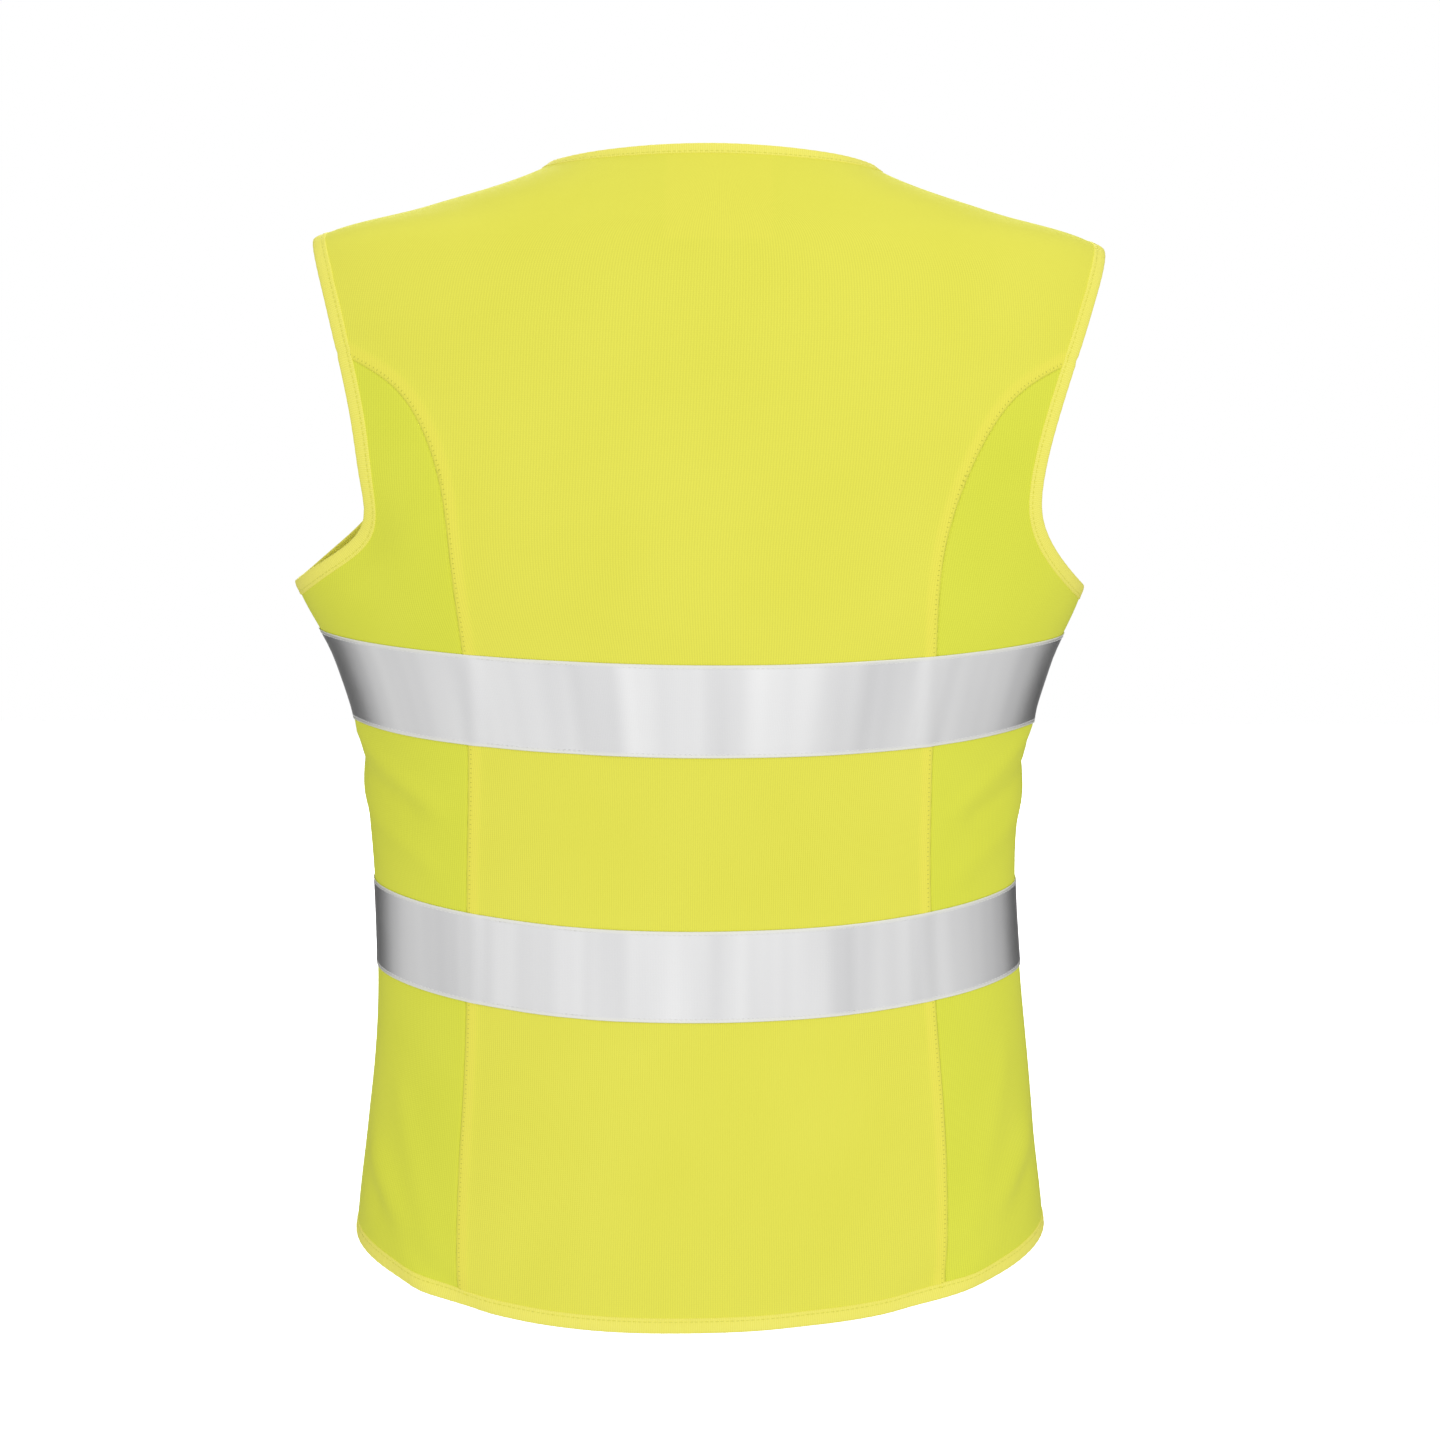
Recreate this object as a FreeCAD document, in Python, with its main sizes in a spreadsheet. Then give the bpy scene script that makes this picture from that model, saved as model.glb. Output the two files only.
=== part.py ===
"""A woman's fitted high visibility vest: a zipped waistcoat with princess seams, two reflective
tapes and bound edges, as it hangs on a body.

Frame: millimetres, +Z up, the front of the vest faces -Y and the wearer's left is +X. The origin
is midway between the two high shoulder points, where a hanger or the wearer carries the vest.

The cloth lies on one body form. Every horizontal section of that form is a superellipse, so the
form is known from its half width, back depth and front depth at a few heights. A layer is the
space between two offsets of the form, and a cloth piece is the part of a layer inside an outline
drawn on the XZ plane. The zip is undone, with its slider at the bottom of the left tape.
"""

import FreeCAD, Part
import math
import os

from FreeCAD import Placement, Rotation, Vector

DOC = FreeCAD.newDocument("high_visibility_vest")
SHEET = DOC.addObject("Spreadsheet::Sheet", "Dimensions")

# Each station of the body form: its height, half width, back depth and front depth.
STATIONS = {
    "collar_top": (14, 80, 70, 50),
    "high_shoulder": (0, 88, 72.5, 58),
    "neck_base": (-7, 101, 75, 64),
    "mid_shoulder": (-25, 157, 80, 76),
    "shoulder_tip": (-43, 217, 86, 86),
    "upper_arm": (-66, 234, 92, 96),
    "chest_top": (-96, 238, 100, 105),
    "shoulder_blade": (-170, 234, 107, 105),
    "underarm": (-231, 221.5, 108, 105),
    "upper_band": (-275, 202, 106.5, 105),
    "midriff": (-330, 188, 102, 105),
    "waist": (-400, 183.5, 98, 105),
    "lower_band": (-450, 185, 99, 105),
    "hip": (-545, 193.5, 106, 105),
    "hem_side": (-600, 200, 110.5, 105),
    "below_hem": (-660, 204, 114, 105),
}

DIMENSIONS = {
    # cloth, tape and binding
    "cloth_thickness": 1.0,
    "tape_thickness": 0.5,
    "tape_width": 50.0,
    "binding_width": 8.0,
    "binding_over": 0.8,
    "binding_rim": 1.5,
    "seam_gap": 0.3,
    "fold_gap": 0.8,
    "back_roundness": 2.1,
    "front_roundness": 2.6,
    # edges and bands
    "neck_height": 5.5,
    "neck_side_drop": 1.9,
    "neck_arc_side": 97.0,
    "hem_arc_side": 210.0,
    "hem_side_drop": 608.0,
    "hem_back_drop": 630.0,
    "hem_front_drop": 604.0,
    "upper_tape_side": 251.0,
    "upper_tape_back": 264.7,
    "upper_tape_front": 262.0,
    "lower_tape_side": 386.0,
    "lower_tape_back": 410.2,
    "lower_tape_front": 408.0,
    "fold_top_side": 56.0,
    "fold_top_drop": 60.0,
    "fold_bottom_side": 110.0,
    "fold_bottom_drop": 606.0,
    # labels
    "label_thickness": 0.5,
    "label_gap": 0.1,
    "neck_label_below": 0.5,
    "neck_label_width": 56.0,
    "neck_label_drop": 44.0,
    "care_label_width": 28.0,
    "care_label_height": 60.0,
    "care_label_thick": 0.4,
    "care_label_drop": 560.0,
    "care_label_side": 187.0,
    "care_label_back": 2.0,
    "care_label_turn": 24.0,
    # zip: distances from the centre line are called side, distances below the origin drop
    "tip_side": 3.4,
    "tooth_length": 3.0,
    "tooth_height": 1.7,
    "tooth_neck": 1.1,
    "tooth_depth": 2.6,
    "tooth_bevel": 0.4,
    "tooth_head": 0.4,
    "tooth_pitch": 2.6,
    "tape_edge_side": 6.4,
    "zip_tape_outer": 21.0,
    "zip_tape_outside": 0.1,
    "zip_tape_inside": 0.9,
    "panel_edge_side": 10.5,
    "zip_top_drop": 105.5,
    "zip_bottom_drop": 595.5,
    "part_gap": 0.5,
    "stop_gap": 1.5,
    "stop_height": 2.5,
    "stop_depth": 3.0,
    "box_height": 8.0,
    "box_depth": 3.6,
    "box_right_side": 2.9,
    "box_wall": 0.8,
    "box_floor": 1.2,
    "pin_width": 1.6,
    "pin_height": 22.0,
    "pin_socket": 2.0,
    "slider_height": 11.0,
    "slider_width": 10.4,
    "slider_offset": 2.3,
    "slider_plate": 1.2,
    "slider_gap": 3.2,
    "slider_flange": 0.8,
    "slider_slot": 1.2,
    "slider_post": 1.6,
    "slider_post_height": 4.0,
    "bridge_width": 2.4,
    "bridge_height": 6.0,
    "bridge_depth": 2.8,
    "pivot_radius": 0.8,
    "pivot_hole_radius": 0.88,
    "pivot_standoff": 1.4,
    "tab_width": 5.0,
    "tab_length": 21.0,
    "tab_thickness": 1.4,
    "tab_arm": 0.9,
    "tab_arm_length": 4.5,
    "tab_eye_radius": 1.2,
    "reach": 160.0,
}


def fill_sheet():
    """Writes every driving dimension to its own cell of the spreadsheet, under its name."""
    rows = dict(DIMENSIONS)
    for name, sizes in STATIONS.items():
        for part, value in zip(("level", "half_width", "back_depth", "front_depth"), sizes):
            rows[f"{name}_{part}"] = value
    for row, (name, value) in enumerate(rows.items(), 1):
        SHEET.set(f"A{row}", name)
        SHEET.set(f"B{row}", repr(value))
        SHEET.setAlias(f"B{row}", name)
    DOC.recompute()


def size(name):
    """A dimension, read back from the spreadsheet."""
    return float(getattr(SHEET, name))


# ---------------------------------------------------------------- body form

SECTION_COLUMNS = 24
FORM_ROWS = 36


def gentle_slopes(at, values):
    """Slopes for a curve through the values that never overshoots them."""
    steps = [
        (values[i + 1] - values[i]) / (at[i + 1] - at[i]) for i in range(len(at) - 1)
    ]
    slopes = [steps[0]]
    for before, after in zip(steps, steps[1:]):
        slopes.append(2 * before * after / (before + after) if before * after > 0 else 0.0)
    return slopes + [steps[-1]]


def on_curve(at, values, slopes, where):
    """The value and slope of a cubic Hermite curve at one place."""
    i = max(k for k in range(len(at) - 1) if at[k] <= where or k == 0)
    span = at[i + 1] - at[i]
    t = (where - at[i]) / span
    v0, v1 = values[i], values[i + 1]
    s0, s1 = slopes[i] * span, slopes[i + 1] * span
    value = (
        (2 * t**3 - 3 * t**2 + 1) * v0 + (t**3 - 2 * t**2 + t) * s0
        + (3 * t**2 - 2 * t**3) * v1 + (t**3 - t**2) * s1
    )
    slope = (6 * t**2 - 6 * t) * (v0 - v1) + (3 * t**2 - 4 * t + 1) * s0 + (3 * t**2 - 2 * t) * s1
    return value, slope / span


class BodyForm:
    """The form that the cloth lies on, read from the stations in the spreadsheet."""

    def __init__(self):
        parts = ("level", "half_width", "back_depth", "front_depth")
        self.columns = [
            [size(f"{name}_{part}") for name in STATIONS] for part in parts
        ]
        level, half_width = self.columns[:2]
        self.along = [0.0]
        for i in range(1, len(level)):
            step = math.hypot(level[i] - level[i - 1], half_width[i] - half_width[i - 1])
            self.along.append(self.along[-1] + step)
        self.slopes = [gentle_slopes(self.along, c) for c in self.columns]

    def section(self, where, back):
        """Height, half width and depth of the section, with the last two's slopes in height."""
        (z, dz), (a, da), (b, db), (f, df) = (
            on_curve(self.along, c, s, where) for c, s in zip(self.columns, self.slopes)
        )
        depth, slope = (b, db) if back else (f, df)
        return z, a, depth, da / dz, slope / dz

    def point(self, where, angle, back, offset):
        """A point of the form moved outwards by offset; angle 0 and pi are the side seams."""
        z, a, depth, da, ddepth = self.section(where, back)
        n = size("back_roundness") if back else size("front_roundness")
        across = abs(math.cos(angle))
        forth = max(0.0, 1 - across**n) ** (1 / n)
        side = 1 if math.cos(angle) >= 0 else -1
        normal = Vector(
            side * across ** (n - 1) / a,
            forth ** (n - 1) / depth,
            -(across**n * da / a + forth**n * ddepth / depth),
        ).normalize()
        p = Vector(side * a * across, depth * forth, z) + normal * offset
        return p if back else Vector(p.x, -p.y, p.z)

    def surface(self, back, offset):
        """The half of the form behind or in front of the side seams, as one spline face."""
        rows = []
        for r in range(FORM_ROWS + 1):
            where = self.along[-1] * r / FORM_ROWS
            rows.append([
                self.point(where, math.pi * c / SECTION_COLUMNS, back, offset)
                for c in range(SECTION_COLUMNS + 1)
            ])
        surface = Part.BSplineSurface()
        surface.interpolate(rows)
        return surface.toShape()


FORM = None


def layer(name, back, inner, outer):
    """A solid between two offsets of one half of the form."""
    low, high = FORM.surface(back, inner), FORM.surface(back, outer)
    faces = [low, high]
    for one, other in zip(low.Edges, high.Edges):
        faces.append(Part.makeRuledSurface(one, other))
    shell = Part.makeShell(faces)
    shell.sewShape()
    solid = Part.makeSolid(shell)
    if solid.Volume < 0:
        solid.reverse()
    helper = DOC.addObject("Part::Feature", name)
    helper.Shape = solid
    return helper


# ---------------------------------------------------------------- outlines on the XZ plane


def spot(side, level):
    return Vector(side, 0, level)


def curve(points):
    """A smooth edge through (side, level) points."""
    spline = Part.BSplineCurve()
    spline.interpolate([spot(*p) for p in points])
    return spline.toShape()


def line(start, end):
    return Part.makeLine(spot(*start), spot(*end))


def arc(half_width, end_level, middle_level):
    """An arc across the vest, level at the centre line, from the left to the right."""
    return Part.Arc(
        spot(half_width, end_level), spot(0, middle_level), spot(-half_width, end_level)
    ).toShape()


def beside(points, distance):
    """The points of a line beside the given one, to the right of its direction of travel."""
    moved = []
    for i, (x, z) in enumerate(points):
        x0, z0 = points[max(i - 1, 0)]
        x1, z1 = points[min(i + 1, len(points) - 1)]
        run = math.hypot(x1 - x0, z1 - z0)
        moved.append((x + distance * (z1 - z0) / run, z - distance * (x1 - x0) / run))
    return moved


def prism(name, edges, back):
    """A solid from the side seams outwards over a closed outline, extruded along Y."""
    outline = DOC.addObject("Part::Feature", name + "_outline")
    outline.Shape = Part.Face(Part.Wire(Part.__sortEdges__(edges)))
    solid = DOC.addObject("Part::Extrusion", name + "_prism")
    solid.Base = outline
    solid.DirMode = "Custom"
    solid.Dir = Vector(0, 1 if back else -1, 0)
    solid.Solid = True
    solid.setExpression("LengthFwd", "Dimensions.reach")
    solid.setExpression("LengthRev", "Dimensions.cloth_thickness")
    return solid


def strip(points, width):
    """The closed outline of a strip that lies to the right of a line of points."""
    inner = beside(points, width)
    return [
        curve(points),
        curve(inner),
        line(points[0], inner[0]),
        line(points[-1], inner[-1]),
    ]


def polygon(points):
    return [line(points[i], points[(i + 1) % len(points)]) for i in range(len(points))]


# ---------------------------------------------------------------- building blocks

PARTS = []


def named(thing, node):
    """Makes an object a sub-part, written to parts/node.step."""
    thing.Label = node
    PARTS.append(thing)
    return thing


def common(name, base, tool):
    both = DOC.addObject("Part::Common", name)
    both.Base, both.Tool = base, tool
    return both


def cut(name, base, tool):
    rest = DOC.addObject("Part::Cut", name)
    rest.Base, rest.Tool = base, tool
    return rest


def fused(name, *shapes):
    whole = DOC.addObject("Part::MultiFuse", name)
    whole.Shapes = list(shapes)
    return whole


def mirrored(source, node):
    """The wearer's right hand copy of a left hand sub-part."""
    copy = DOC.addObject("Part::Mirroring", node)
    copy.Source = source
    copy.Normal = Vector(1, 0, 0)
    return named(copy, node)


def both_sides(thing, rest):
    """Names a left hand sub-part and adds its right hand copy."""
    named(thing, "left_" + rest)
    return thing, mirrored(thing, "right_" + rest)


def block(name, low, high, **expressions):
    """A box between two corners; expressions bind its sizes to the spreadsheet."""
    box = DOC.addObject("Part::Box", name)
    box.Length, box.Width, box.Height = (h - l for l, h in zip(low, high))
    box.Placement = Placement(Vector(*low), Rotation())
    for prop, text in expressions.items():
        box.setExpression(prop, text)
    return box


# ---------------------------------------------------------------- lines of the cut

BACK_ARMHOLE = [
    (222, -30), (217, -43), (203, -85), (190, -130), (183.5, -167), (185, -187),
    (194.5, -205), (207, -219), (222, -231), (240, -240),
]
FRONT_ARMHOLE = [
    (222, -30), (217, -43), (199, -85), (184, -130), (178, -160), (181, -182),
    (191, -200), (206, -216), (222, -231), (240, -246),
]
FRONT_NECK = [(89, 24), (88, 0), (84, -22), (71, -51), (46, -79), (20, -93), (-6, -98)]
BACK_PRINCESS = [
    (250, -75), (200, -103), (164, -124), (146, -151), (135.5, -182), (129, -225),
    (125, -300), (126, -380), (130, -470), (135, -550), (134.5, -660),
]
FRONT_PRINCESS = [
    (240, -92), (186, -124), (159, -152), (141, -190), (131, -240), (128, -320),
    (129, -400), (134, -500), (140, -660),
]
# Levels and distances that lie past the edges of the vest on every side.
ABOVE = 40
OUTSIDE = 270
BELOW = -700
PAST_MIDDLE = -60
# How far a cutting tool runs past the face that it cuts.
CLEAR = 1


def fold_line(beyond=0.0):
    """The line that a front panel folds open on, moved sideways by beyond, past both edges."""
    top = (size("fold_top_side"), -size("fold_top_drop"))
    bottom = (size("fold_bottom_side"), -size("fold_bottom_drop"))
    lean = (top[0] - bottom[0]) / (top[1] - bottom[1])
    return [
        (top[0] + lean * (ABOVE - top[1]) + beyond, ABOVE),
        (bottom[0] + lean * (BELOW - bottom[1]) + beyond, BELOW),
    ]


def back_neck(up=0.0):
    return arc(size("neck_arc_side"), -size("neck_side_drop") + up, size("neck_height") + up)


def hem(back, up=0.0):
    middle = size("hem_back_drop") if back else size("hem_front_drop")
    return arc(size("hem_arc_side"), -size("hem_side_drop") + up, -middle + up)


def band(which, back, up=0.0):
    """The lower edge of a tape, moved up by up."""
    middle = size(f"{which}_tape_back" if back else f"{which}_tape_front")
    width = size("tape_width")
    return arc(OUTSIDE, -size(f"{which}_tape_side") - width + up, -middle - width + up)


def between(low, high):
    """The closed outline between two arcs that run across the vest."""
    ends = [sorted(e.Vertexes, key=lambda v: v.X) for e in (low, high)]
    sides = [Part.makeLine(ends[0][k].Point, ends[1][k].Point) for k in (0, 1)]
    return [low, high, *sides]


# ---------------------------------------------------------------- cloth


def cloth_halves():
    """The whole cloth of the back and of the left front, up to the rim of the bindings."""
    rim = size("binding_rim")
    thick = size("cloth_thickness")
    back_edges = []
    armhole = beside(BACK_ARMHOLE, rim)
    for side in (1, -1):
        back_edges.append(curve([(side * x, z) for x, z in armhole]))
    low, neck = hem(True, rim), back_neck(-rim)
    ends = sorted(low.Vertexes, key=lambda v: v.X)
    corners = sorted(neck.Vertexes, key=lambda v: v.X)
    for side, end, corner in ((1, ends[1], corners[1]), (-1, ends[0], corners[0])):
        back_edges += [
            line((side * armhole[-1][0], armhole[-1][1]), (side * OUTSIDE, armhole[-1][1])),
            line((side * OUTSIDE, armhole[-1][1]), (side * OUTSIDE, end.Z)),
            line((side * OUTSIDE, end.Z), (end.X, end.Z)),
            line((side * armhole[0][0], armhole[0][1]), (side * armhole[0][0], corner.Z)),
            line((side * armhole[0][0], corner.Z), (corner.X, corner.Z)),
        ]
    back_edges += [low, neck]
    back = common(
        "back_cloth",
        layer("back_cloth_layer", True, 0, thick),
        prism("back_cloth", back_edges, True),
    )

    armhole = beside(FRONT_ARMHOLE, rim)
    neck = beside(FRONT_NECK, -rim)
    edge = size("panel_edge_side")
    body = prism(
        "front_region",
        polygon([
            (edge, ABOVE), (OUTSIDE, ABOVE), (OUTSIDE, BELOW), (edge, BELOW),
        ]),
        False,
    )
    low = hem(False, rim)
    below = prism(
        "front_below_hem",
        [low] + [
            line((low.Vertexes[0].X, low.Vertexes[0].Z), (low.Vertexes[0].X, BELOW)),
            line((low.Vertexes[0].X, BELOW), (low.Vertexes[-1].X, BELOW)),
            line((low.Vertexes[-1].X, BELOW), (low.Vertexes[-1].X, low.Vertexes[-1].Z)),
        ],
        False,
    )
    inside_neck = prism(
        "front_inside_neck",
        [
            curve(neck),
            line(neck[-1], (PAST_MIDDLE, neck[-1][1])),
            line((PAST_MIDDLE, neck[-1][1]), (PAST_MIDDLE, ABOVE)),
            line((PAST_MIDDLE, ABOVE), (neck[0][0], ABOVE)),
            line((neck[0][0], ABOVE), neck[0]),
        ],
        False,
    )
    inside_armhole = prism(
        "front_inside_armhole",
        [curve(armhole), line(armhole[-1], (OUTSIDE, armhole[-1][1])),
         line((OUTSIDE, armhole[-1][1]), (OUTSIDE, armhole[0][1])),
         line((OUTSIDE, armhole[0][1]), armhole[0])],
        False,
    )
    whole = common("front_whole", layer("front_cloth_layer", False, 0, thick), body)
    front = cut("front_cloth", whole, fused("front_cuts", below, inside_neck, inside_armhole))
    return back, front


def back_panels(cloth):
    half_gap = size("seam_gap") / 2
    inner = beside(BACK_PRINCESS, half_gap)
    outer = beside(BACK_PRINCESS, -half_gap)
    centre = []
    for side in (1, -1):
        points = [(side * x, z) for x, z in inner]
        centre += [curve(points), line(points[0], (points[0][0], ABOVE))]
    centre += [
        line((inner[-1][0], inner[-1][1]), (-inner[-1][0], inner[-1][1])),
        line((inner[0][0], ABOVE), (-inner[0][0], ABOVE)),
    ]
    named(
        common("centre_back", cloth, prism("centre_back", centre, True)), "centre_back_panel"
    )
    side = [
        curve(outer),
        line(outer[-1], (OUTSIDE, outer[-1][1])),
        line((OUTSIDE, outer[-1][1]), (OUTSIDE, outer[0][1])),
        line((OUTSIDE, outer[0][1]), outer[0]),
    ]
    both_sides(common("side_back", cloth, prism("side_back", side, True)), "side_back_panel")


def front_zones():
    """The prisms that part the left front: the swinging front, its outer part and the side."""
    half_gap = size("seam_gap") / 2
    half_fold = size("fold_gap") / 2
    near, far = fold_line(-half_fold), fold_line(half_fold)
    moving = prism(
        "front_swing",
        polygon([(PAST_MIDDLE, ABOVE), near[0], near[1], (PAST_MIDDLE, BELOW)]),
        False,
    )
    inner = beside(FRONT_PRINCESS, half_gap)
    outer = beside(FRONT_PRINCESS, -half_gap)
    seam = [
        curve(inner),
        line(inner[-1], (inner[-1][0], BELOW)),
        line((inner[-1][0], BELOW), far[1]),
        line(far[1], far[0]),
        line(far[0], (inner[0][0], ABOVE)),
        line((inner[0][0], ABOVE), inner[0]),
    ]
    shoulder = prism("front_shoulder", seam, False)
    side = prism(
        "front_side",
        [
            curve(outer),
            line(outer[-1], (OUTSIDE, outer[-1][1])),
            line((OUTSIDE, outer[-1][1]), (OUTSIDE, outer[0][1])),
            line((OUTSIDE, outer[0][1]), outer[0]),
        ],
        False,
    )
    fixed = prism(
        "front_fixed", polygon([(OUTSIDE, ABOVE), far[0], far[1], (OUTSIDE, BELOW)]), False
    )
    return moving, shoulder, side, fixed


def front_panels(cloth, zones):
    moving, shoulder, side, _ = zones
    both_sides(common("front", cloth, moving), "front_panel")
    both_sides(common("front_outer", cloth, shoulder), "front_panel_outer")
    both_sides(common("side_front", cloth, side), "side_front_panel")


# ---------------------------------------------------------------- bindings and tapes


def bindings(back_cloth, front_cloth, zones):
    moving, _, _, fixed = zones
    width, over = size("binding_width"), size("binding_over")
    thick = size("cloth_thickness")
    back_edge = layer("back_edge_layer", True, -over, thick + over)
    front_edge = layer("front_edge_layer", False, -over, thick + over)

    def back_binding(name, outline):
        return cut(name, common(name + "_band", back_edge, prism(name, outline, True)), back_cloth)

    def front_binding(name, outline):
        whole = common(name + "_band", front_edge, prism(name, outline, False))
        return cut(name, whole, front_cloth)

    both_sides(
        fused(
            "armhole_binding",
            back_binding("back_armhole", strip(BACK_ARMHOLE, width)),
            front_binding("front_armhole", strip(FRONT_ARMHOLE, width)),
        ),
        "armhole_binding",
    )

    neck_back = back_binding("back_neck", between(back_neck(), back_neck(-width)))
    front_neck = front_binding("front_neck", strip(FRONT_NECK, -width))
    region = prism(
        "beside_zip",
        polygon([
            (size("panel_edge_side"), size("neck_height")), (OUTSIDE, size("neck_height")),
            (OUTSIDE, BELOW), (size("panel_edge_side"), BELOW),
        ]),
        False,
    )
    front_neck = common("front_neck_left", front_neck, region)
    neck_side = common("neck_side", front_neck, fixed)
    neck_other = DOC.addObject("Part::Mirroring", "neck_other_side")
    neck_other.Source = neck_side
    neck_other.Normal = Vector(1, 0, 0)
    named(fused("whole_neck", neck_back, neck_side, neck_other), "neck_binding")
    both_sides(common("neck_front", front_neck, moving), "neck_binding_front")

    back_hem = back_binding("back_hem", between(hem(True), hem(True, width)))
    front_hem = common(
        "front_hem_left", front_binding("front_hem", between(hem(False), hem(False, width))), region
    )
    hem_side = common("hem_side_part", front_hem, fixed)
    hem_other = DOC.addObject("Part::Mirroring", "hem_other_side")
    hem_other.Source = hem_side
    hem_other.Normal = Vector(1, 0, 0)
    named(fused("whole_hem", back_hem, hem_side, hem_other), "hem_binding")
    both_sides(common("hem_front", front_hem, moving), "hem_binding_front")
    return region


def reflective_tapes(zones, region):
    moving, _, _, fixed = zones
    thick = size("cloth_thickness")
    outer = thick + size("tape_thickness")
    back_layer = layer("back_tape_layer", True, thick, outer)
    front_layer = layer("front_tape_layer", False, thick, outer)
    front_half = common("front_tape_half", front_layer, region)
    for which in ("upper", "lower"):
        whole = prism(
            which + "_back_band",
            between(band(which, True), band(which, True, size("tape_width"))),
            True,
        )
        named(common(which + "_back", back_layer, whole), f"{which}_tape_back")
        whole = prism(
            which + "_front_band",
            between(band(which, False), band(which, False, size("tape_width"))),
            False,
        )
        front = common(which + "_front_half", front_half, whole)
        both_sides(common(which + "_side", front, fixed), f"{which}_tape_side")
        both_sides(common(which + "_front", front, moving), f"{which}_tape_front")


def labels():
    half = size("neck_label_width") / 2
    top = size("neck_height") - size("binding_width") - size("neck_label_below")
    bottom = -size("neck_label_drop")
    gap = size("label_gap")
    inside = layer("label_layer", True, -size("label_thickness") - gap, -gap)
    tag = prism(
        "neck_label", polygon([(half, top), (-half, top), (-half, bottom), (half, bottom)]), True
    )
    named(common("neck_label_cloth", inside, tag), "neck_label")
    care = block(
        "care_label_cloth", (0, 0, 0), (1, 1, 1),
        Length="Dimensions.care_label_thick",
        Width="Dimensions.care_label_width",
        Height="Dimensions.care_label_height",
    )
    care.Placement = Placement(
        Vector(size("care_label_side"), size("care_label_back"), -size("care_label_drop")),
        Rotation(Vector(0, 0, 1), size("care_label_turn")),
    )
    named(care, "care_label")


# ---------------------------------------------------------------- zip


def tape_middle():
    """Where the middle of the zip tape's thickness lies along Y."""
    inside = (size("zip_tape_inside") + size("zip_tape_outside")) / 2
    return -(size("chest_top_front_depth") - inside)


def zip_tapes():
    inside = layer("zip_layer", False, -size("zip_tape_inside"), -size("zip_tape_outside"))
    top, bottom = -size("zip_top_drop"), -size("zip_bottom_drop")
    near, far = size("tape_edge_side"), size("zip_tape_outer")
    outline = polygon([(near, top), (far, top), (far, bottom), (near, bottom)])
    both_sides(common("zip_tape_cloth", inside, prism("zip_tape", outline, False)), "zip_tape")


def teeth(name, side, bottom):
    """A row of moulded teeth, each with a narrow neck behind a wider head."""
    tip, length = size("tip_side"), size("tooth_length")
    tall, neck, deep = size("tooth_height"), size("tooth_neck"), size("tooth_depth")
    bevel = size("tooth_bevel")
    head = tip + length * size("tooth_head")
    base = tip + length
    outline = [
        (tip, -neck / 2), (tip + bevel, -tall / 2), (head, -tall / 2), (head + bevel, -neck / 2),
        (base, -neck / 2), (base, neck / 2), (head + bevel, neck / 2), (head, tall / 2),
        (tip + bevel, tall / 2), (tip, neck / 2),
    ]
    front = tape_middle() - deep / 2
    points = [Vector(side * x, front, z) for x, z in outline]
    tooth = Part.Face(Part.makePolygon(points + [points[0]])).extrude(Vector(0, deep, 0))
    top = -size("zip_top_drop") - size("stop_height") - size("stop_gap")
    count = int((top - bottom) / size("tooth_pitch"))
    row = DOC.addObject("Part::Feature", name)
    row.Shape = Part.makeCompound([
        tooth.translated(Vector(0, 0, bottom + (k + 0.5) * size("tooth_pitch")))
        for k in range(count)
    ])
    return named(row, name)


def top_stops():
    tip, length, deep = size("tip_side"), size("tooth_length"), size("stop_depth")
    top = -size("zip_top_drop") - size("part_gap")
    stop = block(
        "top_stop_clamp",
        (tip, tape_middle() - deep / 2, top - size("stop_height")),
        (tip + length, tape_middle() + deep / 2, top),
        Length="Dimensions.tooth_length",
        Width="Dimensions.stop_depth",
        Height="Dimensions.stop_height",
    )
    both_sides(stop, "top_stop")


def retainer_box():
    """The box on the left tape that the pin of the right tape drops into."""
    deep, bottom = size("box_depth"), -size("zip_bottom_drop")
    right, left = -size("box_right_side"), size("tape_edge_side")
    shell = block(
        "box_shell", (right, tape_middle() - deep / 2, bottom),
        (left, tape_middle() + deep / 2, bottom + size("box_height")),
        Height="Dimensions.box_height", Width="Dimensions.box_depth",
    )
    socket, start = size("pin_socket"), right + size("box_wall")
    well = block(
        "box_well", (start, tape_middle() - socket / 2, bottom + size("box_floor")),
        (start + socket, tape_middle() + socket / 2, bottom + size("box_height") + CLEAR),
        Length="Dimensions.pin_socket", Width="Dimensions.pin_socket",
    )
    named(cut("box", shell, well), "retainer_box")


def insertion_pin():
    """The pin at the foot of the right tape, rounded at its lower end."""
    wide, bottom = size("pin_width"), -size("zip_bottom_drop")
    shaft = block(
        "pin_shaft", (-size("tape_edge_side"), tape_middle() - wide / 2, bottom + wide / 2),
        (-size("tip_side"), tape_middle() + wide / 2, bottom + size("pin_height")),
        Width="Dimensions.pin_width",
    )
    nose = DOC.addObject("Part::Cylinder", "pin_nose")
    nose.setExpression("Radius", "Dimensions.pin_width / 2")
    nose.setExpression("Height", "Dimensions.tape_edge_side - Dimensions.tip_side")
    nose.Placement = Placement(
        Vector(-size("tape_edge_side"), tape_middle(), bottom + wide / 2),
        Rotation(Vector(0, 1, 0), 90),
    )
    named(fused("pin", shaft, nose), "insertion_pin")


def slider_foot():
    return -size("zip_bottom_drop") + size("box_height") + size("part_gap")


def pivot():
    """The point that the pull tab turns about, on the front of the slider."""
    front = tape_middle() - size("slider_gap") / 2 - size("slider_plate")
    return Vector(
        size("slider_offset"),
        front - size("pivot_standoff"),
        slider_foot() + size("slider_height") / 2,
    )


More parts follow.
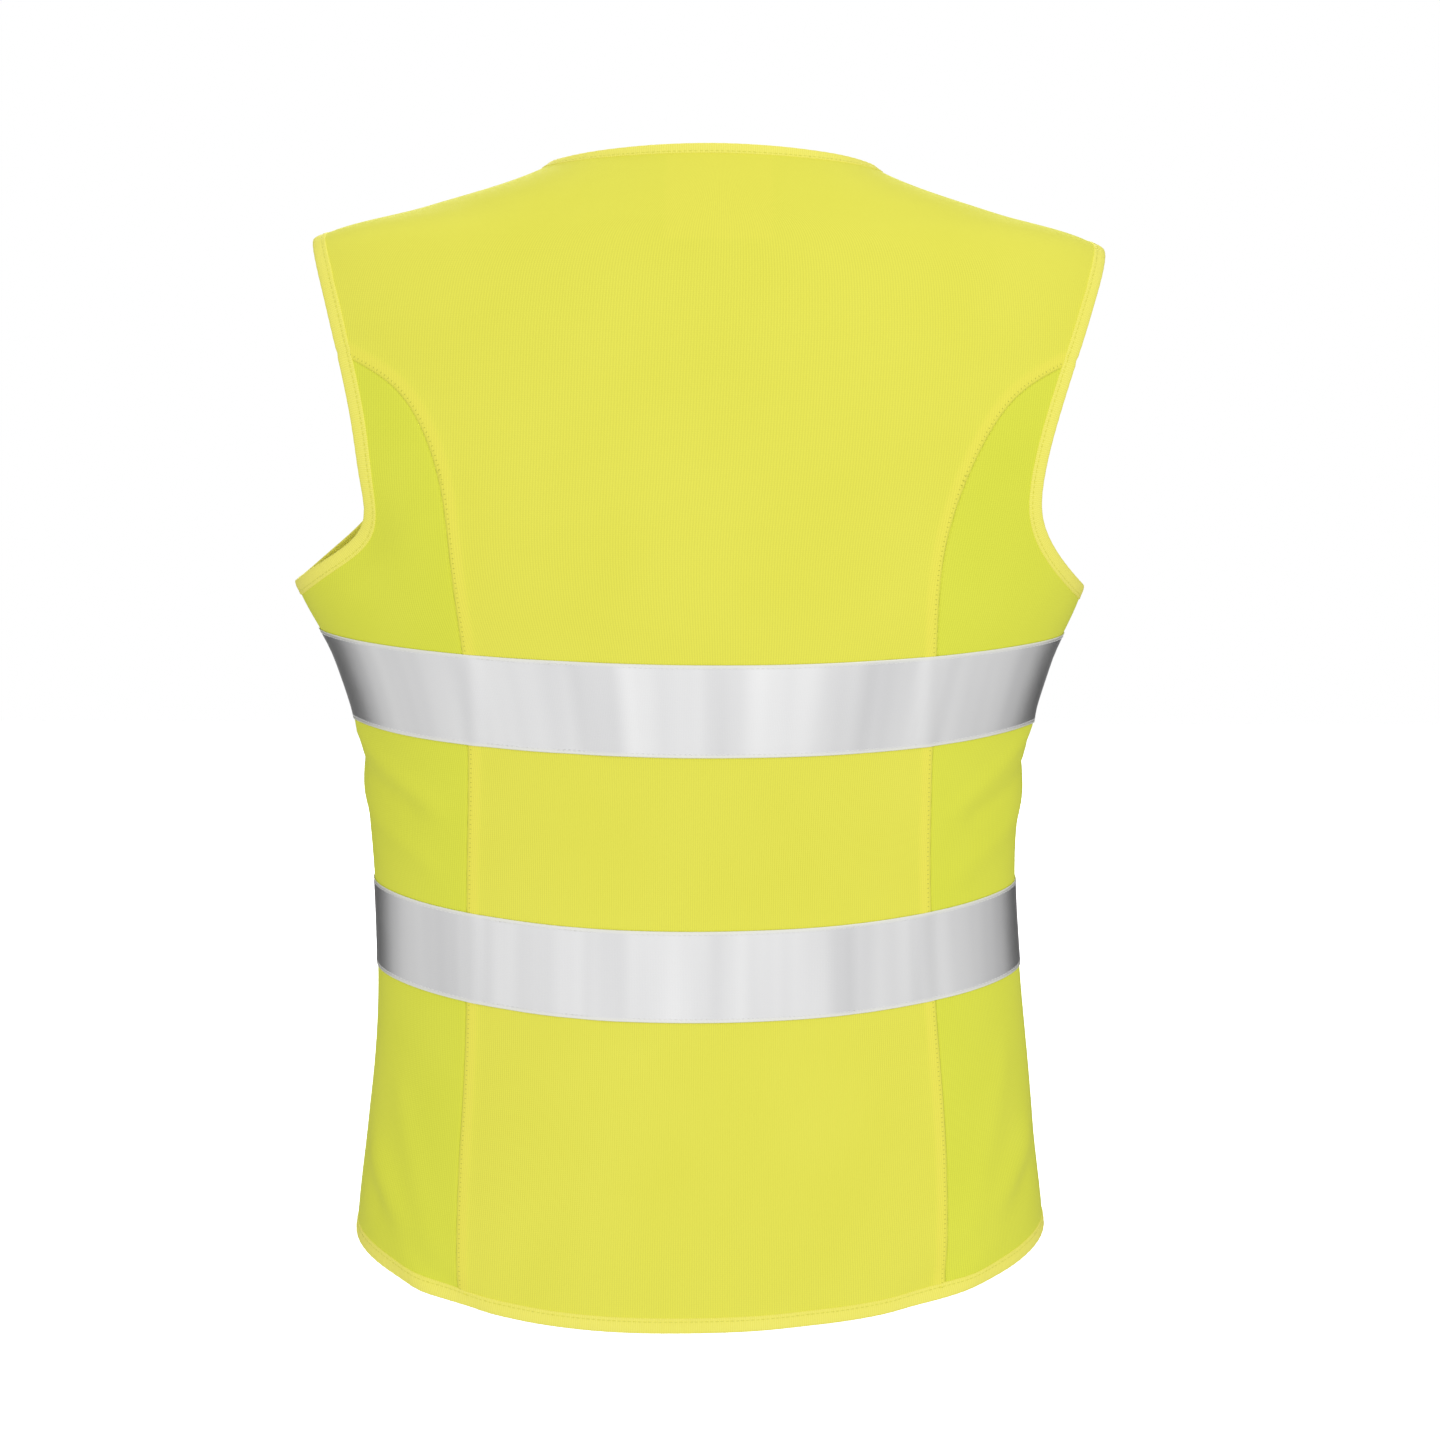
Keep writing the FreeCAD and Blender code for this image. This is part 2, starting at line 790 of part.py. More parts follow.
def slider():
    """Two plates joined by a post, with lips at their sides and a bridge for the pull tab."""
    tall, wide, plate = size("slider_height"), size("slider_width"), size("slider_plate")
    gap, lip, slot = size("slider_gap"), size("slider_flange"), size("slider_slot")
    middle, foot = tape_middle(), slider_foot()
    right = size("slider_offset") - wide / 2
    solids = []
    for name, near in (("outer", middle - gap / 2 - plate), ("inner", middle + gap / 2)):
        solids.append(block(
            f"slider_{name}_plate", (right, near, foot), (right + wide, near + plate, foot + tall),
            Length="Dimensions.slider_width", Width="Dimensions.slider_plate",
            Height="Dimensions.slider_height",
        ))
    for edge, x in (("right", right), ("left", right + wide - lip)):
        for name, low, high in (
            ("outer", middle - gap / 2, middle - slot / 2),
            ("inner", middle + slot / 2, middle + gap / 2),
        ):
            solids.append(block(
                f"slider_{edge}_{name}_lip", (x, low, foot), (x + lip, high, foot + tall),
                Length="Dimensions.slider_flange", Height="Dimensions.slider_height",
            ))
    post = size("slider_post")
    solids.append(block(
        "slider_post_block",
        (size("slider_offset") - post / 2, middle - gap / 2, foot + tall - size("slider_post_height")),
        (size("slider_offset") + post / 2, middle + gap / 2, foot + tall),
        Length="Dimensions.slider_post", Width="Dimensions.slider_gap",
        Height="Dimensions.slider_post_height",
    ))
    at = pivot()
    half = size("bridge_width") / 2
    solids.append(block(
        "slider_bridge",
        (at.x - half, middle - gap / 2 - plate - size("bridge_depth"), at.z - size("bridge_height") / 2),
        (at.x + half, middle - gap / 2 - plate, at.z + size("bridge_height") / 2),
        Length="Dimensions.bridge_width", Width="Dimensions.bridge_depth",
        Height="Dimensions.bridge_height",
    ))
    hole = DOC.addObject("Part::Cylinder", "bridge_hole")
    hole.setExpression("Radius", "Dimensions.pivot_hole_radius")
    hole.Height = 2 * (half + CLEAR)
    hole.Placement = Placement(at - Vector(half + CLEAR, 0, 0), Rotation(Vector(0, 1, 0), 90))
    named(cut("slider_whole", fused("slider_solids", *solids), hole), "zip_slider")


def pull_tab():
    """A flat tab whose cross bar turns in the slider's bridge."""
    body = DOC.addObject("PartDesign::Body", "pull_tab_body")
    plane = next(o for o in body.Origin.OriginFeatures if o.Role == "XZ_Plane")
    half, arm = size("tab_width") / 2, size("tab_arm")
    reach = size("tab_arm_length")
    length = size("tab_length")
    sketch = body.newObject("Sketcher::SketchObject", "tab_outline")
    sketch.AttachmentSupport = [(plane, "")]
    sketch.MapMode = "FlatFace"
    corners = [
        (-half, 0), (-half, -length + half), (half, -length + half), (half, 0),
        (half - arm, 0), (half - arm, -reach), (-half + arm, -reach), (-half + arm, 0),
    ]
    points = [Vector(x, y, 0) for x, y in corners]
    for i in range(len(points)):
        start, end = points[i], points[(i + 1) % len(points)]
        if i == 1:
            sketch.addGeometry(
                Part.ArcOfCircle(
                    Part.Circle(Vector(0, -length + half, 0), Vector(0, 0, 1), half),
                    math.pi, 2 * math.pi,
                )
            )
        else:
            sketch.addGeometry(Part.LineSegment(start, end))
    pad = body.newObject("PartDesign::Pad", "tab_plate")
    pad.Profile = sketch
    pad.Midplane = True
    pad.setExpression("Length", "Dimensions.tab_thickness")
    DOC.recompute()
    eye = body.newObject("Sketcher::SketchObject", "eye_outline")
    eye.AttachmentSupport = [(plane, "")]
    eye.MapMode = "FlatFace"
    eye.addGeometry(
        Part.Circle(Vector(0, -length + half, 0), Vector(0, 0, 1), size("tab_eye_radius"))
    )
    pocket = body.newObject("PartDesign::Pocket", "tab_eye")
    pocket.Profile = eye
    pocket.Midplane = True
    pocket.Type = "ThroughAll"
    body.Tip = pocket
    body.Placement = Placement(pivot(), Rotation())
    bar = DOC.addObject("Part::Cylinder", "tab_bar")
    bar.setExpression("Radius", "Dimensions.pivot_radius")
    bar.setExpression("Height", "Dimensions.tab_width")
    bar.Placement = Placement(pivot() - Vector(half, 0, 0), Rotation(Vector(0, 1, 0), 90))
    named(fused("tab", body, bar), "pull_tab")


# ---------------------------------------------------------------- the whole vest


# Cubic millimetres; a smaller solid is a leftover of a cut.
SMALLEST_SOLID = 0.01


def write_parts():
    DOC.recompute()
    os.makedirs("parts", exist_ok=True)
    for thing in DOC.Objects:
        if "Invalid" in thing.State or "Error" in thing.State:
            raise RuntimeError(f"{thing.Name} failed: {thing.State}")
    for thing in PARTS:
        shape = thing.Shape
        if shape.isNull() or not shape.isValid() or not shape.Solids:
            raise RuntimeError(f"{thing.Label} has no valid shape")
        solids = [s for s in shape.Solids if s.Volume > SMALLEST_SOLID]
        kept = solids[0] if len(solids) == 1 else Part.makeCompound(solids)
        kept.exportStep(f"parts/{thing.Label}.step")
        box = kept.BoundBox
        print(f"{thing.Label:28s} solids {len(solids):3d} volume {kept.Volume:9.1f}"
              f" x {box.XMin:7.1f} {box.XMax:7.1f} y {box.YMin:7.1f} {box.YMax:7.1f}"
              f" z {box.ZMin:7.1f} {box.ZMax:7.1f}")


def main():
    global FORM
    fill_sheet()
    FORM = BodyForm()
    back_cloth, front_cloth = cloth_halves()
    back_panels(back_cloth)
    zones = front_zones()
    front_panels(front_cloth, zones)
    region = bindings(back_cloth, front_cloth, zones)
    reflective_tapes(zones, region)
    labels()
    zip_tapes()
    teeth("left_zip_teeth", 1, slider_foot())
    above_pin = -size("zip_bottom_drop") + size("pin_height") + size("part_gap")
    teeth("right_zip_teeth", -1, above_pin)
    top_stops()
    retainer_box()
    insertion_pin()
    slider()
    pull_tab()
    write_parts()


main()
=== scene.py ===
"""The looks of the high visibility vest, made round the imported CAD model.

Every cloth piece is cut from one body form. A place on it is given by s, the distance round the
body from the middle of the back (positive to the wearer's left, in millimetres round the waist),
and w, the distance down the form's side from its top. Lengths are in millimetres until a mesh is
made, and metres in Blender.
"""

import math

import bmesh
import bpy
import numpy as np
from mathutils import Matrix, Quaternion, Vector
from mathutils.geometry import delaunay_2d_cdt
from mathutils.kdtree import KDTree


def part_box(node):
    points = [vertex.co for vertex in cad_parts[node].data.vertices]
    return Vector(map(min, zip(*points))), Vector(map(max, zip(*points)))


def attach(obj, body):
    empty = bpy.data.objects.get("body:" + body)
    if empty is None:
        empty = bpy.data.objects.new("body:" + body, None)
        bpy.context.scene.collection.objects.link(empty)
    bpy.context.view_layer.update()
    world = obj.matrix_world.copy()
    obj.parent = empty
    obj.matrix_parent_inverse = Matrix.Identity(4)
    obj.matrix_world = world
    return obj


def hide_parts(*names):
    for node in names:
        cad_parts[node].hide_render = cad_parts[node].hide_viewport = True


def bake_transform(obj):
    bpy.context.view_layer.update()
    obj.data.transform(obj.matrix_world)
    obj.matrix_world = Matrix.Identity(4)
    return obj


MM = 0.001

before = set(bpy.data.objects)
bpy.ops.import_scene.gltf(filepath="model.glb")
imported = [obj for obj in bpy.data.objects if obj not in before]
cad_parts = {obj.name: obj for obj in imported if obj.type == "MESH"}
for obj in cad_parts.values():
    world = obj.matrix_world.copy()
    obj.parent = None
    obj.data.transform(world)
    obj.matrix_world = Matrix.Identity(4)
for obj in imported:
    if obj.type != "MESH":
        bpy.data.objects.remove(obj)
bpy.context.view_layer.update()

# ---------------------------------------------------------------- the body form

# Height, half width, back depth and front depth of each station, as the cloth was designed.
STATIONS = np.array([
    (14, 80, 70, 50),
    (0, 88, 72.5, 58),
    (-7, 101, 75, 64),
    (-25, 157, 80, 76),
    (-43, 217, 86, 86),
    (-66, 234, 92, 96),
    (-96, 238, 100, 105),
    (-170, 234, 107, 105),
    (-231, 221.5, 108, 105),
    (-275, 202, 106.5, 105),
    (-330, 188, 102, 105),
    (-400, 183.5, 98, 105),
    (-450, 185, 99, 105),
    (-545, 193.5, 106, 105),
    (-600, 200, 110.5, 105),
    (-660, 204, 114, 105),
], float)
BACK_ROUNDNESS = 2.1
FRONT_ROUNDNESS = 2.6
TABLE_STEP = 0.5
# The section that s is measured round: its half width and depth, and in how many steps.
ROUND_HALF, ROUND_DEPTH, ROUND_STEPS = 195, 104, 720

BACK, FRONT = 1, -1
LEFT, RIGHT = 1, -1


def smoothstep(low, high, value):
    """0 up to low, 1 from high, and smooth between; low may be the larger of the two."""
    t = np.clip((value - low) / (high - low), 0, 1)
    return t * t * (3 - 2 * t)


def hermite_table():
    """The stations' sizes and their slopes in height, at every TABLE_STEP down the form."""
    level, half = STATIONS[:, 0], STATIONS[:, 1]
    along = np.concatenate([[0], np.cumsum(np.hypot(np.diff(level), np.diff(half)))])
    places = np.arange(0, along[-1], TABLE_STEP)
    k = np.clip(np.searchsorted(along, places, "right") - 1, 0, len(along) - 2)
    span = along[k + 1] - along[k]
    t = (places - along[k]) / span
    columns, slopes = [], []
    for values in STATIONS.T:
        steps = np.diff(values) / np.diff(along)
        inner = [2 * p * q / (p + q) if p * q > 0 else 0.0 for p, q in zip(steps, steps[1:])]
        slope = np.array([steps[0], *inner, steps[-1]])
        v0, v1, m0, m1 = values[k], values[k + 1], slope[k] * span, slope[k + 1] * span
        columns.append(
            (2 * t**3 - 3 * t**2 + 1) * v0 + (t**3 - 2 * t**2 + t) * m0
            + (3 * t**2 - 2 * t**3) * v1 + (t**3 - t**2) * m1
        )
        rise = (6 * t**2 - 6 * t) * (v0 - v1) + (3 * t**2 - 4 * t + 1) * m0
        slopes.append((rise + (3 * t**2 - 2 * t) * m1) / span)
    return places, columns, [slopes[i] / slopes[0] for i in (1, 2, 3)]


PLACES, (LEVEL, HALF, BACK_DEPTH, FRONT_DEPTH), SLOPES = hermite_table()


def round_table():
    """The distance round a typical section from the middle of the back, against the angle."""
    angle = np.linspace(math.pi / 2, -math.pi / 2, ROUND_STEPS + 1)
    n = np.where(angle >= 0, BACK_ROUNDNESS, FRONT_ROUNDNESS)
    radius = (np.abs(np.cos(angle)) ** n + np.abs(np.sin(angle)) ** n) ** (-1 / n)
    x, y = ROUND_HALF * radius * np.cos(angle), ROUND_DEPTH * radius * np.sin(angle)
    return angle, np.concatenate([[0], np.cumsum(np.hypot(np.diff(x), np.diff(y)))])


ANGLES, ROUND = round_table()
SIDE_SEAM = float(np.interp(0, -ANGLES, ROUND))


def down(z):
    """w of a height."""
    return np.interp(-np.asarray(z, float), -LEVEL, PLACES)


def half_width(z):
    """How far the form reaches sideways at a height."""
    return np.interp(down(z), PLACES, HALF)


def place(x, z, face):
    """(s, w) of a point of the back or front, from its x and z."""
    x, z = np.asarray(x, float), np.asarray(z, float)
    w = down(z)
    n = BACK_ROUNDNESS if face == BACK else FRONT_ROUNDNESS
    across = np.clip(np.abs(x) / np.interp(w, PLACES, HALF), 0, 1)
    forth = (1 - across**n) ** (1 / n)
    s = np.interp(-face * np.arctan2(forth, across), -ANGLES, ROUND)
    return np.stack([np.where(x < 0, -s, s), w], -1)


def on_form(points):
    """Points of the bare form, and their outward normals, for rows of (s, w)."""
    s, w = points[..., 0], points[..., 1]
    angle = np.interp(np.abs(s), ROUND, ANGLES)
    back = angle >= 0
    n = np.where(back, BACK_ROUNDNESS, FRONT_ROUNDNESS)
    z, a, b, f = (np.interp(w, PLACES, c) for c in (LEVEL, HALF, BACK_DEPTH, FRONT_DEPTH))
    da, db, df = (np.interp(w, PLACES, c) for c in SLOPES)
    depth, slope = np.where(back, b, f), np.where(back, db, df)
    c, d = np.abs(np.cos(angle)), np.abs(np.sin(angle))
    r = (c**n + d**n) ** (-1 / n)
    side, face = np.where(s < 0, -1.0, 1.0), np.where(back, 1.0, -1.0)
    across, forth = r * c, r * d
    point = np.stack([side * a * across, face * depth * forth, z], -1)
    normal = np.stack([
        side * across ** (n - 1) / a,
        face * forth ** (n - 1) / depth,
        -(across**n * da / a + forth**n * slope / depth),
    ], -1)
    return point, normal / np.linalg.norm(normal, axis=-1, keepdims=True)


# ---------------------------------------------------------------- how the cloth hangs

# Soft folds: x and z of the two ends, the face, half the fold's width, and its height.
FOLDS = [
    ((188, -314), (146, -346), BACK, 6, 1.8),
    ((190, -328), (158, -350), BACK, 5, -1.5),
    ((188, -345), (150, -378), BACK, 7, 1.4),
    ((-188, -310), (-144, -346), BACK, 6, 1.6),
    ((-190, -326), (-154, -354), BACK, 5, -1.5),
    ((-186, -348), (-146, -384), BACK, 8, 1.5),
    ((184, -556), (158, -612), BACK, 10, 3.0),
    ((184, -580), (130, -622), BACK, 8, -2.2),
    ((170, -520), (150, -600), BACK, 8, 1.2),
    ((-182, -548), (-150, -606), BACK, 11, 3.0),
    ((-180, -572), (-120, -620), BACK, 9, -2.2),
    ((-168, -500), (-148, -590), BACK, 8, 1.2),
    ((-96, -560), (-60, -618), BACK, 14, -1.0),
    ((70, -540), (104, -614), BACK, 14, -1.0),
    ((-190, -228), (-150, -200), BACK, 8, 0.9),
    ((190, -228), (152, -196), BACK, 8, 0.9),
    ((170, -320), (120, -360), FRONT, 8, 1.5),
    ((-172, -312), (-118, -356), FRONT, 8, 1.5),
    ((176, -232), (120, -206), FRONT, 9, 1.2),
    ((-176, -232), (-122, -202), FRONT, 9, 1.2),
    ((190, -560), (140, -598), FRONT, 12, 2.0),
    ((-192, -550), (-136, -596), FRONT, 12, 2.0),
]
# Slow waves: along s, along w (both in radians a millimetre), phase and height.
WAVES = [
    (0.031, 0.008, 0.4, 0.45),
    (0.047, -0.017, 2.1, 0.30),
    (0.019, 0.027, 4.0, 0.40),
    (0.083, 0.012, 1.3, 0.14),
]
# The body leans to the wearer's right at the shoulders, and its hips stand out to that side: the
# two heights that each runs between, and how far it reaches.
LEAN_TOP, LEAN_END, LEAN = 0.0, -210.0, 7.0
SWAY_TOP, SWAY_END, SWAY = -365.0, -525.0, 7.0
# The underarms stand to the wearer's left: at what height, how far above and below, how much.
ARM_LEVEL, ARM_SPAN, ARM_SHIFT = -215.0, 45.0, 3.2
# The hem hangs lower at the wearer's left: the heights it starts between, and its slope.
TILT_TOP, TILT_END, TILT = -540.0, -620.0, 0.0045
# The back of the left armhole is drawn in towards the middle: where, how far round it, how much,
# and how far from the side seam that starts.
PULL_AT, PULL_REACH, PULL, PULL_START = (187, -202), 27.0, 10.5, 22.0
# The shoulders carry the cloth, so the waves are smaller there: the height that they grow from,
# over what length, and what share is missing at the top.
CALM_LEVEL, CALM_LENGTH, CALM_SHARE = -20, 60, 0.75
# A fold dies out beyond its ends over this many of its half widths.
FOLD_FADE = 1.6
# The lean, sway and tilt die out between these distances past the side seam, and the waves and
# folds between these distances from the middle of the front.
STILL_FROM, STILL_TO = 40, 110
FLAT_WITHIN, FLAT_UNTIL = 30, 70

FOLD_SEGMENTS = [
    (place(*start, face), place(*end, face), spread, height)
    for start, end, face, spread, height in FOLDS
]


def hang(points):
    """How far the cloth stands off its flat place on the form."""
    s, w = points[..., 0], points[..., 1]
    lift = np.zeros_like(s)
    calm = 1 - CALM_SHARE * smoothstep(CALM_LENGTH, 0, w - down(CALM_LEVEL))
    for along_s, along_w, phase, height in WAVES:
        lift += calm * height * np.sin(along_s * s + along_w * w + phase)
    for start, end, spread, height in FOLD_SEGMENTS:
        run = end - start
        length = np.linalg.norm(run)
        t = ((points - start) @ run) / length**2
        off = ((s - start[0]) * run[1] - (w - start[1]) * run[0]) / length
        beyond = np.maximum(np.maximum(-t, t - 1), 0) * length
        lift += height * np.exp(-((off / spread) ** 2) - (beyond / (FOLD_FADE * spread)) ** 2)
    return lift


def aside(x, z):
    """How far a place of the body stands to the wearer's right of where it would be upright."""
    lean = LEAN * smoothstep(LEAN_END, LEAN_TOP, z)
    hips = SWAY * smoothstep(SWAY_TOP, SWAY_END, z) * (x / half_width(z)) ** 2
    return lean + hips - ARM_SHIFT * np.exp(-(((z - ARM_LEVEL) / ARM_SPAN) ** 2))


def centre_of_front(points):
    """1 beside the zip, where the cloth hangs true, falling to 0 at the sides."""
    return smoothstep(SIDE_SEAM + STILL_FROM, SIDE_SEAM + STILL_TO, np.abs(points[..., 0]))


def at(points, lift=0.0):
    """Places of the cloth, in millimetres, lift above the form."""
    points = np.asarray(points, float)
    base, normal = on_form(points)
    still = centre_of_front(points)
    loose = smoothstep(ROUND[-1] - FLAT_WITHIN, ROUND[-1] - FLAT_UNTIL, np.abs(points[..., 0]))
    raised = np.asarray(lift) + hang(points) * loose
    placed = base + normal * raised[..., None]
    x, z = base[..., 0], base[..., 2]
    placed[..., 0] -= aside(x, z) * (1 - still)
    placed[..., 2] -= TILT * x * smoothstep(TILT_TOP, TILT_END, z) * (1 - still)
    placed[..., 0] -= drawn_in(points)
    return placed


PULL_PLACE = place(*PULL_AT, BACK)


def drawn_in(points):
    """The sideways pull on the back of the left underarm, none from the side seam forwards."""
    far = np.linalg.norm(points - PULL_PLACE, axis=-1) / PULL_REACH
    round_back = smoothstep(SIDE_SEAM, SIDE_SEAM - PULL_START, points[..., 0])
    return PULL * np.exp(-(far**2)) * round_back


# ---------------------------------------------------------------- lines of the cut


def spline(points, spacing=1.0):
    """A smooth line through (x, z) points, as many more points."""
    p = np.array(points, float)
    chord = np.concatenate([[0], np.cumsum(np.linalg.norm(np.diff(p, axis=0), axis=1))])
    step = np.diff(chord)
    count = len(p)
    matrix, right = np.eye(count), np.zeros((count, 2))
    for i in range(1, count - 1):
        matrix[i, i - 1 : i + 2] = step[i - 1], 2 * (step[i - 1] + step[i]), step[i]
        right[i] = 6 * ((p[i + 1] - p[i]) / step[i] - (p[i] - p[i - 1]) / step[i - 1])
    bend = np.linalg.solve(matrix, right)
    t = np.arange(0, chord[-1], spacing)
    k = np.clip(np.searchsorted(chord, t, "right") - 1, 0, count - 2)
    h, u, v = step[k, None], (chord[k + 1] - t)[:, None], (t - chord[k])[:, None]
    curve = (bend[k] * u**3 + bend[k + 1] * v**3) / (6 * h)
    curve += (p[k] / h - bend[k] * h / 6) * u + (p[k + 1] / h - bend[k + 1] * h / 6) * v
    return np.vstack([curve, p[-1]])


def run_length(points):
    """How far along the cloth each point of a line of (s, w) is from its first."""
    steps = np.linalg.norm(np.diff(at(points), axis=0), axis=1)
    return np.concatenate([[0], np.cumsum(steps)])


def spaced(points, spacing):
    """The same line of (s, w) with even spacing over the cloth."""
    length = run_length(points)
    places = np.linspace(0, length[-1], max(2, round(length[-1] / spacing) + 1))
    return np.stack([np.interp(places, length, points[:, k]) for k in (0, 1)], -1)


def beside(points, distance):
    """A line of (s, w) beside another, to the left of its travel when distance is positive."""
    tiny = 0.5
    base, normal = on_form(points)
    along_s = (on_form(points + (tiny, 0))[0] - on_form(points - (tiny, 0))[0]) / (2 * tiny)
    along_w = (on_form(points + (0, tiny))[0] - on_form(points - (0, tiny))[0]) / (2 * tiny)
    travel = np.gradient(base, axis=0)
    across = np.cross(normal, travel)
    across /= np.linalg.norm(across, axis=1, keepdims=True)
    ss, ww = (along_s**2).sum(1), (along_w**2).sum(1)
    sw = (along_s * along_w).sum(1)
    ps, pw = (along_s * across).sum(1), (along_w * across).sum(1)
    det = ss * ww - sw**2
    step = np.stack([(ps * ww - pw * sw) / det, (pw * ss - ps * sw) / det], -1)
    return points + step * distance


# The back neck's height in the middle and at the shoulder seam, and how far out that is. The front
# neck is cut off at NECK_SHOULDER, and the fronts end PANEL_EDGE from the middle.
NECK_TOP, NECK_SIDE, NECK_REACH = 5.5, -1.9, 97.0
NECK_SHOULDER = -1.8
PANEL_EDGE = 10.5
# The cut lines of the left half: x and z, from the top of each down.
BACK_ARMHOLE = spline([
    (222, -30), (217, -43), (203, -85), (190, -130), (183.5, -167), (185, -187),
    (194.5, -205), (207, -219), (222, -231), (240, -240),
])
FRONT_ARMHOLE = spline([
    (222, -30), (217, -43), (199, -85), (184, -130), (178, -160), (181, -182),
    (191, -200), (206, -216), (222, -231), (240, -246),
])
FRONT_NECK = spline([(97, 12), (91.4, -1.3), (85.5, -22), (71, -51), (46, -79), (20, -93), (-6, -98)])
BACK_PRINCESS = spline([
    (250, -75), (200, -103), (164, -124), (146, -151), (135.5, -182), (129, -225),
    (125, -300), (126, -380), (130, -470), (135, -550), (134.5, -660),
])
FRONT_PRINCESS = spline([
    (240, -92), (186, -124), (159, -152), (141, -190), (131, -240), (128, -320),
    (129, -400), (134, -500), (140, -660),
])
# The hem's height at the sides, behind and in front, how far out the sides are, and the power that
# it rises with.
HEM_SIDE, HEM_BACK, HEM_FRONT, HEM_REACH = -608.0, -630.0, -604.0, 200.5
HEM_CURVE = 2.6
# The height of each tape's upper edge at the side, and in the middle of the back and the front.
TAPES = {
    "upper": {"side": -256.5, BACK: -264.7, FRONT: -262.0},
    "lower": {"side": -399.0, BACK: -410.2, FRONT: -408.0},
}
TAPE_WIDTH = 50.0


def hem_level(x, face):
    """The height of the hem's edge."""
    middle = HEM_BACK if face == BACK else HEM_FRONT
    return middle + (HEM_SIDE - middle) * (np.abs(x) / HEM_REACH) ** HEM_CURVE


def on_cloth(curve, face):
    """The stretch of an (x, z) line that lies on the form, with its ends put on the side seam."""
    inside = np.where(curve[:, 0] < half_width(curve[:, 1]))[0]
    first, last = inside[0], inside[-1]
    part = place(curve[first : last + 1, 0], curve[first : last + 1, 1], face)
    ends = []
    for k in (first - 1, last + 1):
        if 0 <= k < len(curve):
            ends.append((SIDE_SEAM, down(curve[k, 1])))
    if first > 0:
        part = np.vstack([ends[0], part])
    if last < len(curve) - 1:
        part = np.vstack([part, ends[-1]])
    return part


def hem_line(face, count=400):
    """The left half of the hem, from the middle to the side seam."""
    start = 0 if face == BACK else PANEL_EDGE
    x = np.sin(np.linspace(0, math.pi / 2, count)) * (HEM_REACH + 1)
    x = x[x >= start]
    if face == FRONT:
        x = np.concatenate([[PANEL_EDGE], x])
    line = place(x, hem_level(x, face), face)
    line[-1, 0] = SIDE_SEAM
    return line


def neck_line(face, count=300):
    """The left half of the neck edge, from the middle to the shoulder seam."""
    if face == BACK:
        x = np.linspace(0, NECK_REACH, count)
        z = NECK_TOP + (NECK_SIDE - NECK_TOP) * (x / NECK_REACH) ** 2
        keep = x < half_width(z)
        line = place(x[keep], z[keep], BACK)
        return np.vstack([line, (SIDE_SEAM, line[-1, 1])])
    keep = (FRONT_NECK[:, 0] > PANEL_EDGE) & (FRONT_NECK[:, 1] < NECK_SHOULDER)
    line = place(FRONT_NECK[keep, 0], FRONT_NECK[keep, 1], FRONT)[::-1]
    return np.vstack([line, (SIDE_SEAM, neck_line(BACK)[-1, 1])])


def seam_and_armhole(princess, armhole, face):
    """A princess seam from the armhole to the hem, and the armhole above and below it."""
    level = armhole[:, 1]
    gap = princess[:, 0] - np.interp(-princess[:, 1], -level, armhole[:, 0])
    first = int(np.where(gap < 0)[0][0])
    start = place(*princess[first], face)
    low = np.where(princess[:, 1] < hem_level(princess[:, 0], face))[0][0]
    seam = place(princess[first:low, 0], princess[first:low, 1], face)
    x = princess[low, 0]
    seam = np.vstack([seam, place(x, hem_level(x, face), face)])
    edge = on_cloth(armhole, face)
    cut = int(np.argmin(np.linalg.norm(edge - start, axis=1)))
    return seam, np.vstack([edge[:cut], start]), np.vstack([start, edge[cut + 1 :]])


BACK_SEAM, BACK_ARM_UPPER, BACK_ARM_LOWER = seam_and_armhole(BACK_PRINCESS, BACK_ARMHOLE, BACK)
FRONT_SEAM, FRONT_ARM_UPPER, FRONT_ARM_LOWER = seam_and_armhole(
    FRONT_PRINCESS, FRONT_ARMHOLE, FRONT
)


def flipped(points):
    """The mirror image, on the body's other side."""
    return points * (-1, 1)


# ---------------------------------------------------------------- mesh making

PIECES = {}


def make_mesh(name, points, faces, material, uv=None, paint=None):
    """An object from points in millimetres. uv is per point; paint is named values per point."""
    mesh = bpy.data.meshes.new(name)
    mesh.from_pydata((np.asarray(points) * MM).tolist(), [], faces)
    mesh.validate()
    mesh.polygons.foreach_set("use_smooth", np.ones(len(mesh.polygons), bool))
    if uv is not None:
        corner = np.empty(len(mesh.loops), np.int32)
        mesh.loops.foreach_get("vertex_index", corner)
        layer = mesh.uv_layers.new(name="cloth")
        layer.data.foreach_set("uv", (np.asarray(uv)[corner] * MM).astype(np.float32).ravel())
    for key, values in (paint or {}).items():
        attribute = mesh.attributes.new(key, "FLOAT", "POINT")
        attribute.data.foreach_set("value", np.asarray(values, np.float32))
    mesh.materials.append(material)
    piece = bpy.data.objects.new(name, mesh)
    bpy.context.scene.collection.objects.link(piece)
    PIECES[name] = piece
    return piece


def inside_polygon(points, polygon):
    """Which points lie within a closed outline."""
    x, y = points[:, 0:1], points[:, 1:2]
    x0, y0 = polygon[:, 0], polygon[:, 1]
    x1, y1 = np.roll(x0, -1), np.roll(y0, -1)
    crosses = (y0 > y) != (y1 > y)
    with np.errstate(divide="ignore", invalid="ignore"):
        reach = x0 + (y - y0) * (x1 - x0) / (y1 - y0)
    return (crosses & (x < reach)).sum(1) % 2 == 1


def tree_of(points):
    tree = KDTree(len(points))
    for i, p in enumerate(points):
        tree.insert(p, i)
    tree.balance()
    return tree


def nearest(tree, points):
    """Each point's distance from the nearest point of a tree."""
    return np.array([tree.find(p)[2] for p in points])


